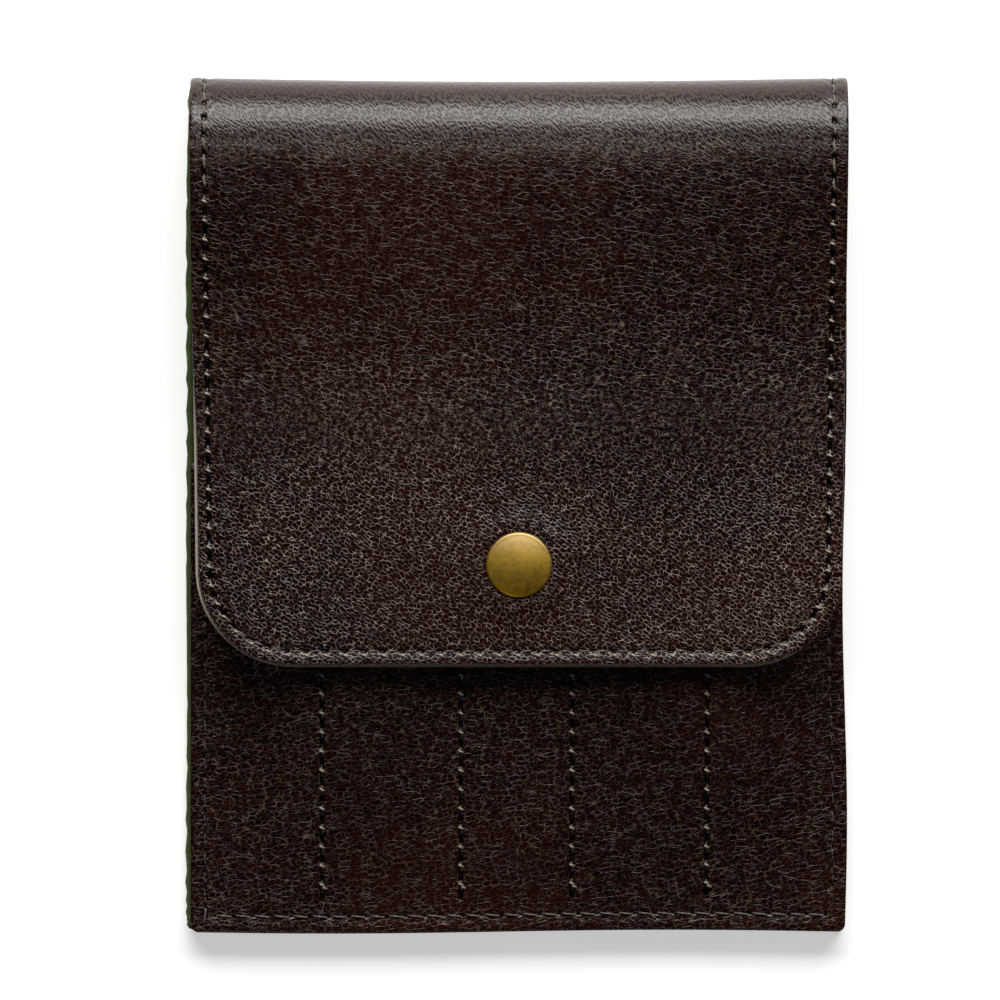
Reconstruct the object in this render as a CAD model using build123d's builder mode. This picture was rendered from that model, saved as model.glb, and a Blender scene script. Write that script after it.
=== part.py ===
"""A flap case for knitting needle tips, lying on its back with the flap closed.

Dark leather lined with green felt. Millimetres; +X is to the right of somebody who faces the
flap, +Y points to the fold, and +Z goes from the back to the flap. The origin is the middle
of the back's outer face.

The back, the fold and the flap are one strip of lined leather. The front is a second piece
of leather, sewn to the back along three sides and raised between them, with felt pleats that
part its inside into needle pockets. The fold bends at evenly spaced lines, and between two
lines the strip is a rigid slat.
"""
import os
from math import cos, radians, sin

from build123d import *

# ---------------------------------------------------------------- driving dimensions
case_width = 125.0
case_height = 163.0  # bottom edge to the crest of the fold
back_corner_radius = 1.5

leather_thickness = 1.4
lining_thickness = 1.0
lining_left_proud = 0.6  # felt that shows past the leather on the left
lining_inset = 0.3  # felt short of the leather elsewhere

fold_back_radius = 5.5  # outer face of the fold, from the back to the crest
fold_front_radius = 11.5  # and from the crest to the flap
bend_count = 6
slat_gap = 0.25

flap_length = 112.1  # crest of the fold to the flap's tip
flap_tip_width = 122.8
flap_corner_radius = 18.5
flap_sag = 1.8  # how far the flap sags between the fold and the snap: at its middle
flap_sag_side = 3.7  # and at its sides, which hang
flap_seat_hang = 3.4  # the sides, beside the snap
flap_tip_hang = 2.2  # and at the tip's two corners
flap_seat_half = 8.0  # flat place that the snap is riveted through
flap_seat_rise = 17.0  # from there up to the line of the deepest sag
flap_blank_margin = 1.0  # sheet that the flap's outline is cut off

pocket_felt_lip = 3.0  # felt that stands past the mouth
flange_width = 5.0
side_slope_width = 19.0
bottom_slope_width = 42.0
front_rise = 6.6  # top of the front over its flange
divider_1_x = -37.45
divider_2_x = -11.03
divider_3_x = 10.08
divider_4_x = 35.74
pleat_setback = 1.0  # end of a pleat behind the mouth
divider_end_inset = 5.6  # last stitch of a divider from the bottom edge

stitch_pitch = 3.65
stitch_length = 2.9
fold_stitch_length = 1.9
thread_width = 0.7
thread_thickness = 0.45
thread_sink = 0.25
seam_inset = 2.7
bottom_seam_inset = 3.2

snap_tip_distance = 19.4  # snap's centre from the flap's tip
snap_mouth_distance = 19.2  # snap's centre from the pockets' mouth
snap_clearance = 0.3
cap_radius = 6.25
cap_rim = 0.4
cap_height = 1.6
rivet_radius = 2.0
rivet_flare = 0.6
rivet_flare_thickness = 0.3
socket_radius = 5.4
socket_height = 2.6
socket_plate = 0.5
groove_height = 0.7
groove_depth = 0.75
groove_lift = 0.55  # lower edge of the groove over the socket's mouth
ring_wire_radius = 0.28
ring_opening = 40.0  # degrees left open in the split ring
stud_flange_radius = 5.25
stud_flange_thickness = 0.4
stud_neck_radius = 2.6
stud_neck_height = 0.6
stud_head_radius = 2.85
stud_head_height = 1.0
eyelet_radius = 1.6
eyelet_wall = 0.6
eyelet_flange_radius = 4.2
eyelet_flange_thickness = 0.5
eyelet_reach = 1.0  # eyelet's tube above the front leather

# ---------------------------------------------------------------- places worked out from them
half_width = case_width / 2
bottom_y = -case_height / 2
crest_y = case_height / 2
strip_thickness = leather_thickness + lining_thickness
fold_height = fold_back_radius + fold_front_radius
back_end_y = crest_y - fold_back_radius
flap_root_y = crest_y - fold_front_radius
flap_tip_y = crest_y - flap_length

flange_z = strip_thickness + lining_thickness
seam_top_z = flange_z + leather_thickness
cavity_top_z = flange_z + front_rise
front_top_z = seam_top_z + front_rise
flap_lining_z = fold_height - strip_thickness
foot_half_width = half_width - flange_width  # where the front starts to rise
head_half_width = foot_half_width - side_slope_width
foot_y = bottom_y + flange_width
head_y = foot_y + bottom_slope_width
pleat_thickness = 2 * lining_thickness
divider_positions = (divider_1_x, divider_2_x, divider_3_x, divider_4_x)

snap_y = flap_tip_y + snap_tip_distance
mouth_y = snap_y + snap_mouth_distance
seat_high_y = snap_y + flap_seat_half
deepest_y = seat_high_y + flap_seat_rise
stud_bore_radius = stud_head_radius + snap_clearance
socket_mouth_z = flap_lining_z - socket_height
groove_z = socket_mouth_z + groove_lift

bend_angle = 180 / bend_count
bend_angles = [(bend + 0.5) * bend_angle for bend in range(bend_count)]


# ---------------------------------------------------------------- the strip's section at the fold
def fold_centre(angle):
    """Centre (y) and outer radius of the arc that this angle of the fold is on."""
    if angle <= 90:
        return back_end_y, fold_back_radius
    return flap_root_y, fold_front_radius


def fold_point(angle, depth):
    """Point (y, z) at a depth under the outer face: angle 0 at the back, 180 at the flap."""
    centre_y, radius = fold_centre(angle)
    reach = radius - depth
    return centre_y + reach * sin(radians(angle)), fold_back_radius - reach * cos(radians(angle))


def bend_pivot(angle):
    """Point (y, z) that a bend turns about, so that the outer face keeps its length."""
    half = radians(bend_angle / 2)
    radius = fold_centre(angle)[1]
    return fold_point(angle, radius - radius * half / sin(half))


def fold_arcs(start, end, depth):
    """Lines of one face between two angles: one arc on each side of the crest."""
    for first, last in ((start, min(end, 90)), (max(start, 90), end)):
        if last > first:
            middle = (first + last) / 2
            ThreePointArc(*[fold_point(angle, depth) for angle in (first, middle, last)])


def fold_layer(left_x, right_x, start, end, outer_depth, thickness):
    """One layer of the fold between two angles, with half a gap cut off at each bend."""
    inner_depth = outer_depth + thickness
    with BuildSketch(Plane(origin=(left_x, 0, 0), x_dir=(0, 1, 0), z_dir=(1, 0, 0))) as section:
        with BuildLine():
            fold_arcs(start, end, outer_depth)
            Line(fold_point(end, outer_depth), fold_point(end, inner_depth))
            fold_arcs(start, end, inner_depth)
            Line(fold_point(start, inner_depth), fold_point(start, outer_depth))
        make_face()
        for angle in (start, end):
            if angle in bend_angles:
                with Locations(fold_point(angle, strip_thickness / 2)):
                    Rectangle(2 * strip_thickness, slat_gap, rotation=angle - 90, mode=Mode.SUBTRACT)
    extrude(section.sketch, amount=right_x - left_x)


# ---------------------------------------------------------------- flat outlines
def back_panel(left_x, right_x, low_y, high_y, z, thickness):
    """A sheet of the back with its two bottom corners rounded off."""
    with BuildSketch(Plane.XY.offset(z)) as outline:
        with Locations(((left_x + right_x) / 2, (low_y + high_y) / 2)):
            Rectangle(right_x - left_x, high_y - low_y)
        fillet(outline.vertices().group_by(Axis.Y)[0], back_corner_radius)
    extrude(outline.sketch, amount=thickness)


# The flap's surface, as drops below its root: across at these places (y), from the middle to a side.
blank_half_width = half_width + flap_blank_margin
flap_drops = (
    (flap_root_y, 0, 0),
    (deepest_y, flap_sag, flap_sag_side),
    (seat_high_y, 0, flap_seat_hang),
    (flap_tip_y - flap_blank_margin, 0, flap_tip_hang),
)


def flap_sheet(z, thickness):
    """The sagging sheet that the flap is cut from: flat across its middle, straight to each side."""
    sections = []
    for x, side in ((-blank_half_width, 2), (-flap_seat_half, 1), (flap_seat_half, 1), (blank_half_width, 2)):
        lower = [(drops[0], z - drops[side]) for drops in flap_drops]
        upper = [(y, low + thickness) for y, low in reversed(lower)]
        with BuildSketch(Plane(origin=(x, 0, 0), x_dir=(0, 1, 0), z_dir=(1, 0, 0))) as section:
            with BuildLine():
                Polyline(*lower, *upper, close=True)
            make_face()
        sections.append(section.sketch)
    loft(sections, ruled=True)


def flap_drop(x, y):
    """How far that sheet lies below its root at this place."""
    for (high_y, *high), (low_y, *low) in zip(flap_drops, flap_drops[1:]):
        if y >= low_y:
            break
    share = (high_y - y) / (high_y - low_y)
    middle, side = (above + (below - above) * share for above, below in zip(high, low))
    return middle + (side - middle) * max(0, abs(x) - flap_seat_half) / (blank_half_width - flap_seat_half)


def flap_panel(inset, z, thickness):
    """A sheet of the flap, narrower at the tip, with its two corners rounded."""
    root, tip, low_y = half_width - inset, flap_tip_width / 2 - inset, flap_tip_y + inset
    flap_sheet(z, thickness)
    with BuildSketch(Plane.XY) as outline:
        with BuildLine():
            Polyline((-root, flap_root_y), (-tip, low_y), (tip, low_y), (root, flap_root_y), close=True)
        make_face()
        fillet(outline.vertices().group_by(Axis.Y)[0], flap_corner_radius - inset)
    extrude(outline.sketch, amount=z + thickness, mode=Mode.INTERSECT)


def raised_block(z, mode=Mode.ADD):
    """Block under the raised front: sloped at the sides and the bottom, upright at the mouth."""
    levels = []
    for height, half, low_y in ((z, foot_half_width, foot_y), (z + front_rise, head_half_width, head_y)):
        with BuildSketch(Plane.XY.offset(height)) as level:
            with Locations((0, (low_y + mouth_y) / 2)):
                Rectangle(2 * half, mouth_y - low_y)
        levels.append(level.sketch)
    loft(levels, ruled=True, mode=mode)


# ---------------------------------------------------------------- stitches
UP, DOWN = (0, 0, 1), (0, 0, -1)
flush_z = thread_thickness - thread_sink  # a thread's height for an outer face at z = 0


def even_steps(length):
    """Distances of the stitches' middles along a row of this length."""
    count = max(1, round(length / stitch_pitch))
    return [(number + 0.5) * length / count for number in range(count)]


def stitch_row(start, end, normal):
    """Planes of the stitches of a straight row, one at the middle of each."""
    run = Vector(*end) - Vector(*start)
    along = run.normalized()
    return [Plane(origin=Vector(*start) + along * step, x_dir=along, z_dir=normal)
            for step in even_steps(run.length)]


def stitch_turn(centre_x, centre_y, radius, start, end, z, normal):
    """The same along a flat arc, with its angles in degrees."""
    planes = []
    for step in even_steps(radius * radians(end - start)):
        angle = radians(start) + step / radius
        origin = (centre_x + radius * cos(angle), centre_y + radius * sin(angle), z)
        planes.append(Plane(origin=origin, x_dir=(-sin(angle), cos(angle), 0), z_dir=normal))
    return planes


def on_flap(plane):
    """The same plane on the sagging flap: each stitch spans the sheet between its own two ends."""
    origin, along, across = plane.origin, plane.x_dir, plane.y_dir

    def tilted(direction):
        reach = direction * (stitch_length / 2)
        ends = origin - reach, origin + reach
        drop = flap_drop(ends[1].X, ends[1].Y) - flap_drop(ends[0].X, ends[0].Y)
        return direction * stitch_length - Vector(0, 0, drop)

    seat = origin - Vector(0, 0, flap_drop(origin.X, origin.Y))
    return Plane(origin=seat, x_dir=tilted(along), z_dir=tilted(along).cross(tilted(across)))


def sew(planes, length=stitch_length):
    """A thread on each plane, sunk into the face that the plane lies on."""
    with BuildSketch(*[plane.offset(-thread_sink) for plane in planes]) as seam:
        SlotOverall(length, thread_width)
    extrude(seam.sketch, amount=thread_thickness)


def turned_section():
    """Plane of a snap part's section: its x is the radius, and its y is the height."""
    return Plane(origin=(0, snap_y, 0), x_dir=(1, 0, 0), z_dir=(0, -1, 0))


def turn(amount=360):
    """Turn the section about the snap's axis."""
    revolve(axis=Axis((0, snap_y, 0), (0, 0, 1)), revolution_arc=amount)


def ring_section(inner, outer, low_z, high_z, mode=Mode.ADD):
    """Rectangle of a turned section between two radii and two heights."""
    with Locations(((inner + outer) / 2, (low_z + high_z) / 2)):
        Rectangle(outer - inner, high_z - low_z, mode=mode)


# ---------------------------------------------------------------- back and fold
with BuildPart() as back_leather:
    back_panel(-half_width, half_width, bottom_y, back_end_y, 0, leather_thickness)
    fold_layer(-half_width, half_width, 0, bend_angles[0], 0, leather_thickness)

lining_left_x = -half_width - lining_left_proud
lining_right_x = half_width - lining_inset
with BuildPart() as back_lining:
    back_panel(lining_left_x, lining_right_x, bottom_y + lining_inset, back_end_y,
               leather_thickness, lining_thickness)
    fold_layer(lining_left_x, lining_right_x, 0, bend_angles[0], leather_thickness, lining_thickness)

slats = {}
for number, (start, end) in enumerate(zip(bend_angles, bend_angles[1:]), 1):
    with BuildPart() as fold_leather:
        fold_layer(-half_width, half_width, start, end, 0, leather_thickness)
    slats[f"fold_leather_{number}"] = fold_leather

    with BuildPart() as fold_lining:
        fold_layer(lining_left_x, lining_right_x, start, end, leather_thickness, lining_thickness)
    slats[f"fold_lining_{number}"] = fold_lining

    middle = (start + end) / 2
    normal = (0, sin(radians(middle)), -cos(radians(middle)))
    with BuildPart() as fold_thread:
        sew([Plane(origin=(side * (half_width - seam_inset), *fold_point(middle, 0)),
                   x_dir=(0, cos(radians(middle)), sin(radians(middle))), z_dir=normal)
             for side in (-1, 1)], fold_stitch_length)
    slats[f"fold_thread_{number}"] = fold_thread

# ---------------------------------------------------------------- pockets
with BuildPart() as pocket_felt:
    back_panel(-half_width + lining_inset, half_width - lining_inset, bottom_y + lining_inset,
               mouth_y + pocket_felt_lip, strip_thickness, lining_thickness)

with BuildPart() as front_leather:
    back_panel(-half_width, half_width, bottom_y, mouth_y, flange_z, leather_thickness)
    raised_block(seam_top_z)
    raised_block(flange_z, Mode.SUBTRACT)
    with BuildSketch(Plane.XY.offset(cavity_top_z)):
        with Locations((0, snap_y)):
            Circle(eyelet_radius)
    extrude(amount=leather_thickness, mode=Mode.SUBTRACT)

pleats = {}
for number, divider_x in enumerate(divider_positions, 1):
    with BuildPart() as pleat:
        with BuildSketch(Plane.XY.offset(flange_z)):
            with Locations((divider_x, (bottom_y + mouth_y - pleat_setback) / 2)):
                Rectangle(pleat_thickness, mouth_y - pleat_setback - bottom_y)
        extrude(amount=front_rise)
        raised_block(flange_z, Mode.INTERSECT)
    pleats[f"divider_pleat_{number}"] = pleat

# ---------------------------------------------------------------- flap
with BuildPart() as flap_leather:
    flap_panel(0, fold_height - leather_thickness, leather_thickness)
    fold_layer(-half_width, half_width, bend_angles[-1], 180, 0, leather_thickness)
    with BuildSketch(Plane.XY.offset(fold_height - leather_thickness)):
        with Locations((0, snap_y)):
            Circle(rivet_radius)
    extrude(amount=leather_thickness, mode=Mode.SUBTRACT)

with BuildPart() as flap_lining:
    flap_panel(lining_inset, flap_lining_z, lining_thickness)
    fold_layer(-half_width + lining_inset, half_width - lining_inset, bend_angles[-1], 180,
               leather_thickness, lining_thickness)
    with BuildSketch(Plane.XY.offset(flap_lining_z)):
        with Locations((0, snap_y)):
            Circle(rivet_radius)
    extrude(amount=lining_thickness, mode=Mode.SUBTRACT)

# ---------------------------------------------------------------- snap
plate_z = flap_lining_z - socket_plate
with BuildPart() as snap_cap:
    with BuildSketch(turned_section()):
        with BuildLine():
            dome_top = (0, fold_height + cap_height)
            dome = TangentArc(dome_top, (cap_radius, fold_height + cap_rim), tangent=(1, 0))
            Polyline(dome @ 1, (cap_radius, fold_height), (0, fold_height), dome_top)
        make_face()
        ring_section(0, rivet_radius, plate_z - rivet_flare_thickness, fold_height)
        ring_section(0, rivet_radius + rivet_flare, plate_z - rivet_flare_thickness, plate_z)
    turn()

with BuildPart() as snap_socket:
    with BuildSketch(turned_section()):
        ring_section(stud_bore_radius, socket_radius, socket_mouth_z, flap_lining_z)
        ring_section(rivet_radius, socket_radius, plate_z, flap_lining_z)
        ring_section(stud_bore_radius, stud_bore_radius + groove_depth, groove_z,
                     groove_z + groove_height, Mode.SUBTRACT)
    turn()

with BuildPart() as snap_ring_spring:
    with BuildSketch(turned_section()):
        with Locations((stud_bore_radius + ring_wire_radius, groove_z + ring_wire_radius)):
            Circle(ring_wire_radius)
    turn(360 - ring_opening)

with BuildPart() as snap_stud:
    neck_z = front_top_z + stud_flange_thickness
    head_z = neck_z + stud_neck_height
    with BuildSketch(turned_section()):
        ring_section(0, stud_flange_radius, front_top_z, neck_z)
        ring_section(0, stud_neck_radius, neck_z, head_z)
        ring_section(0, stud_head_radius, head_z, head_z + stud_head_height)
        ring_section(0, eyelet_radius, front_top_z, front_top_z + eyelet_reach, Mode.SUBTRACT)
    turn()
    head_rim = snap_stud.edges().filter_by(GeomType.CIRCLE).sort_by(Axis.Z)[-1]
    fillet(head_rim, stud_head_height / 3)

with BuildPart() as snap_eyelet:
    flange_low_z = cavity_top_z - eyelet_flange_thickness
    with BuildSketch(turned_section()):
        ring_section(eyelet_radius - eyelet_wall, eyelet_flange_radius, flange_low_z, cavity_top_z)
        ring_section(eyelet_radius - eyelet_wall, eyelet_radius, cavity_top_z,
                     front_top_z + eyelet_reach)
    turn()

# ---------------------------------------------------------------- seams
seam_x = half_width - seam_inset
seam_low_y = bottom_y + bottom_seam_inset
lip_y = mouth_y + pocket_felt_lip
threads = {}
for side, side_name in ((-1, "left"), (1, "right")):
    with BuildPart() as side_thread:
        sew(stitch_row((side * seam_x, mouth_y, seam_top_z), (side * seam_x, seam_low_y, seam_top_z), UP)
            + stitch_row((side * seam_x, mouth_y, flush_z), (side * seam_x, seam_low_y, flush_z), DOWN))
    threads[f"side_thread_{side_name}"] = side_thread

    with BuildPart() as back_edge_thread:
        sew(stitch_row((side * seam_x, back_end_y, strip_thickness),
                       (side * seam_x, lip_y, strip_thickness), UP)
            + stitch_row((side * seam_x, back_end_y, flush_z), (side * seam_x, mouth_y, flush_z), DOWN))
    threads[f"back_edge_thread_{side_name}"] = back_edge_thread

with BuildPart() as bottom_thread:
    sew(stitch_row((-seam_x, seam_low_y, seam_top_z), (seam_x, seam_low_y, seam_top_z), UP)
        + stitch_row((-seam_x, seam_low_y, flush_z), (seam_x, seam_low_y, flush_z), DOWN))
threads["bottom_thread"] = bottom_thread

slope_normal = (0, -front_rise, bottom_slope_width)
for number, divider_x in enumerate(divider_positions, 1):
    end_y = bottom_y + divider_end_inset
    end_z = seam_top_z + (end_y - foot_y) * front_rise / bottom_slope_width
    with BuildPart() as divider_thread:
        sew(stitch_row((divider_x, mouth_y, front_top_z), (divider_x, head_y, front_top_z), UP)
            + stitch_row((divider_x, head_y, front_top_z), (divider_x, end_y, end_z), slope_normal))
    threads[f"divider_thread_{number}"] = divider_thread

tip_seam_x = flap_tip_width / 2 - seam_inset
turn_x = flap_tip_width / 2 - flap_corner_radius
turn_y = flap_tip_y + flap_corner_radius
turn_radius = flap_corner_radius - seam_inset
with BuildPart() as flap_thread:
    flap_stitches = []
    for face_z, normal in ((fold_height, UP), (flap_lining_z, DOWN)):
        for side in (-1, 1):
            flap_stitches += stitch_row((side * seam_x, flap_root_y, face_z),
                                        (side * tip_seam_x, turn_y, face_z), normal)
        flap_stitches += stitch_turn(-turn_x, turn_y, turn_radius, 180, 270, face_z, normal)
        flap_stitches += stitch_turn(turn_x, turn_y, turn_radius, 270, 360, face_z, normal)
        flap_stitches += stitch_row((-turn_x, flap_tip_y + seam_inset, face_z),
                                    (turn_x, flap_tip_y + seam_inset, face_z), normal)
    sew([on_flap(plane) for plane in flap_stitches])
threads["flap_thread"] = flap_thread

# ---------------------------------------------------------------- files, one for each piece
pieces = {
    "back_leather": back_leather,
    "back_lining": back_lining,
    **slats,
    "pocket_felt": pocket_felt,
    "front_leather": front_leather,
    **pleats,
    "flap_leather": flap_leather,
    "flap_lining": flap_lining,
    "snap_cap": snap_cap,
    "snap_socket": snap_socket,
    "snap_ring_spring": snap_ring_spring,
    "snap_stud": snap_stud,
    "snap_eyelet": snap_eyelet,
    **threads,
}
os.makedirs("parts", exist_ok=True)
for piece_name, piece in pieces.items():
    piece.part.label = piece_name
    export_step(piece.part, f"parts/{piece_name}.step")

print("Bends: angle in degrees, y and z in mm")
for angle in bend_angles:
    print(f"{angle:5.0f} {bend_pivot(angle)[0]:8.3f} {bend_pivot(angle)[1]:8.3f}")
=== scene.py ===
"""Flap case for knitting needle tips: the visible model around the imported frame.

The back, the fold and the flap are one strip of leather, so its surface is described by two
lengths: u across the case and s along the strip's outer face, from the bottom edge of the back,
over the fold, to the flap's tip. Lengths are in millimetres until a mesh is made.
"""
import math

import bmesh
import bpy
import numpy as np
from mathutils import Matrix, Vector


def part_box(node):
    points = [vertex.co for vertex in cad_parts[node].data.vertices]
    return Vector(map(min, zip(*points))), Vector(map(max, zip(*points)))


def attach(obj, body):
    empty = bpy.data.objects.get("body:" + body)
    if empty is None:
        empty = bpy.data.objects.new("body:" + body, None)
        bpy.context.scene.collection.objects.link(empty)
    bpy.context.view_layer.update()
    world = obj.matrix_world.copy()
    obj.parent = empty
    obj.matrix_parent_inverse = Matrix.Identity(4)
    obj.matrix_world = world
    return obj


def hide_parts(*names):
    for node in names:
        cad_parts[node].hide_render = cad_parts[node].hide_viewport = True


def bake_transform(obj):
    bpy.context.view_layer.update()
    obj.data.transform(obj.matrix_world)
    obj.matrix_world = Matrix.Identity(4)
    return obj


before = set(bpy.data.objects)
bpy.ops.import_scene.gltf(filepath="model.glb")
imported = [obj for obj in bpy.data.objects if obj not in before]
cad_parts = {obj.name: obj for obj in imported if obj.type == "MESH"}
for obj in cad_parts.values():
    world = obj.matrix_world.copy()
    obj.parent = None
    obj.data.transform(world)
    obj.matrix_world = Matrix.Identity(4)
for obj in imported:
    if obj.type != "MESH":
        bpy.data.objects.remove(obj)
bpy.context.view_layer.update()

MM = 0.001


def mm_box(node):
    """Lowest and highest corner of a CAD node, in millimetres."""
    low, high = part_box(node)
    return np.array(low) / MM, np.array(high) / MM


def middle_x(node):
    """The middle of a CAD node across the case."""
    low, high = mm_box(node)
    return float((low[0] + high[0]) / 2)


# ---- sizes, read from the frame
front_low, front_high = mm_box("front_leather")
lining_low, lining_high = mm_box("back_lining")
felt_low, felt_high = mm_box("pocket_felt")
flap_low, flap_high = mm_box("flap_leather")
cap_low, cap_high = mm_box("snap_cap")
_, socket_high = mm_box("snap_socket")
_, crest_high = mm_box("fold_leather_3")

HALF_WIDTH = front_high[0]
BOTTOM_Y = front_low[1]
MOUTH_Y = front_high[1]
CREST_Y = crest_high[1]
LEATHER = 1.4
FELT = 1.0
STRIP = LEATHER + FELT
FOLD_HEIGHT = flap_high[2]
BACK_RADIUS = 5.5
FRONT_RADIUS = FOLD_HEIGHT - BACK_RADIUS
BACK_END_Y = CREST_Y - BACK_RADIUS
FLAP_ROOT_Y = CREST_Y - FRONT_RADIUS
FLAP_TIP_Y = flap_low[1]
FLAP_TIP_HALF = 61.4
FLAP_CORNER = 18.5
BODY_CORNER = 1.5
SEAM_TOP_Z = front_low[2] + LEATHER
FRONT_TOP_Z = front_high[2]
SNAP_Y = (cap_low[1] + cap_high[1]) / 2
CAP_RADIUS = (cap_high[0] - cap_low[0]) / 2
FOOT = 5.0  # from the sewn edges to where the front begins to rise
FOOT_X = HALF_WIDTH - FOOT
FOOT_Y = BOTTOM_Y + FOOT
DIVIDERS = [middle_x(f"divider_pleat_{number}") for number in range(1, 5)]

S_BACK = BACK_END_Y - BOTTOM_Y  # where the back ends and the fold begins
S_CREST = S_BACK + BACK_RADIUS * math.pi / 2
S_ROOT = S_CREST + FRONT_RADIUS * math.pi / 2  # where the fold ends and the flap begins
S_TIP = S_ROOT + FLAP_ROOT_Y - FLAP_TIP_Y
S_TURN = S_TIP - FLAP_CORNER  # where the flap's corners begin
S_SNAP = S_ROOT + FLAP_ROOT_Y - SNAP_Y
FRONT_S = MOUTH_Y - BOTTOM_Y

SEAM_INSET = 2.7
BOTTOM_SEAM_INSET = 3.2
SEAM_U = HALF_WIDTH - SEAM_INSET
STITCH_PITCH = 3.65
THREAD_RADIUS = 0.22


def smooth(t):
    """Smooth step from 0 to 1."""
    t = np.clip(t, 0, 1)
    return t * t * (3 - 2 * t)


def bell(distance, width):
    """1 at no distance, falling to nothing on both sides."""
    return np.exp(-(distance / width) ** 2)


def ripples(x, y, waves):
    """Plane waves added up; each is (height, length in x, length in y, phase)."""
    return sum(height * np.sin(x / in_x + y / in_y + phase) for height, in_x, in_y, phase in waves)


def curve_through(stops):
    """A smooth function through (place, value) stops: a natural cubic spline, level outside."""
    x, y = np.array(stops, float).T
    h = np.diff(x)
    matrix = np.eye(len(x))
    right = np.zeros(len(x))
    for i in range(1, len(x) - 1):
        matrix[i, i - 1:i + 2] = h[i - 1], 2 * (h[i - 1] + h[i]), h[i]
        right[i] = 6 * ((y[i + 1] - y[i]) / h[i] - (y[i] - y[i - 1]) / h[i - 1])
    bend = np.linalg.solve(matrix, right)

    def value(at):
        at = np.clip(at, x[0], x[-1])
        i = np.clip(np.searchsorted(x, at) - 1, 0, len(h) - 1)
        a, b = x[i + 1] - at, at - x[i]
        return ((bend[i] * a ** 3 + bend[i + 1] * b ** 3) / (6 * h[i])
                + (y[i] / h[i] - bend[i] * h[i] / 6) * a + (y[i + 1] / h[i] - bend[i + 1] * h[i] / 6) * b)
    return value


# ---- the strip in space
# Beyond the fold the flap sags a little, and it rises again towards its tip.
rise_from_root = curve_through([(-18, 0), (-12, -0.55), (-6, -0.95), (-2, -0.85), (0, -0.68), (2, -0.45),
                                (5, -0.2), (9, -0.03), (14, -0.05), (24, -0.42), (38, -1.2), (50, -1.75),
                                (60, -1.85), (70, -1.65), (80, -1.2), (88, -0.85), (95, -0.4), (101, 0.15)])
CREST_HOLLOW = 0.75
HANG = 2.4  # how far the flap's sides hang at its tip
SNAP_SWELL = 0.85
FLAP_WAVES = ((0.2, 15, 31, 0.6), (0.12, 8.5, -22, 2.0))


def strip_lift(u, s):
    """Outward shift of the strip: a slightly hollow crest, a sagging flap and hanging sides."""
    across = np.abs(u) / HALF_WIDTH
    crest = -CREST_HOLLOW * (1 - across ** 2) * bell(s - S_CREST, 8)
    hang = -HANG * across ** 3 * smooth((s - S_ROOT + 4) / 60)
    wave = ripples(u, s, FLAP_WAVES) * smooth((s - S_ROOT) / 25)
    snap = SNAP_SWELL * bell(np.hypot(u, s - S_SNAP), 10)
    lift = crest + hang + wave + snap + rise_from_root(s - S_ROOT)
    return np.where(s > S_BACK, lift * smooth((s - S_BACK) / 5), 0)


def strip_point(u, s, depth):
    """Points in space of the strip, at a depth under its outer face."""
    u, s = np.broadcast_arrays(np.asarray(u, float), np.asarray(s, float))
    depth = depth - strip_lift(u, s)
    back_angle = (s - S_BACK) / BACK_RADIUS
    front_angle = math.pi / 2 + (s - S_CREST) / FRONT_RADIUS
    on_back, on_flap = s <= S_BACK, s >= S_ROOT
    on_rear = (s > S_BACK) & (s <= S_CREST)
    angle = np.where(on_rear, back_angle, front_angle)
    radius = np.where(on_rear, BACK_RADIUS, FRONT_RADIUS) - depth
    centre_y = np.where(on_rear, BACK_END_Y, FLAP_ROOT_Y)
    y = centre_y + radius * np.sin(angle)
    z = BACK_RADIUS - radius * np.cos(angle)
    y = np.where(on_back, BOTTOM_Y + s, np.where(on_flap, FLAP_ROOT_Y - (s - S_ROOT), y))
    z = np.where(on_back, depth, np.where(on_flap, FOLD_HEIGHT - depth, z))
    return np.stack([u, y, z], axis=-1)


# ---- the front panel in space
# The front climbs from the bottom seam to under the flap's tip, and falls a little to its mouth.
climb = curve_through([(-82, 0), (-77, 0.02), (-73, 0.09), (-66, 0.245), (-55, 0.47), (-44, 0.69),
                       (-36, 0.85), (-29, 0.96), (-22, 1.0), (-14, 0.97), (-4, 0.88), (4, 0.78), (9, 0.72)])
FRONT_CLIMB = 8.8
FRONT_WAVES = ((0.14, 11, 17, 0), (0.1, 23, -9, 1))
DIVIDER_PULL = 0.3
PRESSED_RADIUS = 5.6  # the snap presses the leather flat this far from its middle


def front_height(x, y):
    """Height of the front leather's outer face: sewn down at three edges, raised between."""
    side = smooth((FOOT_X + 2.0 - np.abs(x)) / 22)
    # At a divider the leather is drawn in, and it is pressed down around the snap.
    pull = sum(bell(x - divider, 2.6) for divider in DIVIDERS)
    raised = SEAM_TOP_Z + FRONT_CLIMB * side * climb(y)
    raised = raised + side * smooth((y - FOOT_Y) / 12) * (ripples(x, y, FRONT_WAVES) - DIVIDER_PULL * pull)
    pressed = 1 - smooth((np.hypot(x, y - SNAP_Y) - PRESSED_RADIUS) / 9)
    return raised * (1 - pressed) + FRONT_TOP_Z * pressed


def front_point(x, y, depth):
    """Points in space of the front panel, at a depth under its outer face."""
    x, y = np.broadcast_arrays(np.asarray(x, float), np.asarray(y, float))
    return np.stack([x, y, front_height(x, y) - depth], axis=-1)


RIGHT_WAVE, RIGHT_LENGTH = 0.42, 85
BOTTOM_WAVE, BOTTOM_LENGTH = 0.36, 130


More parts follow.
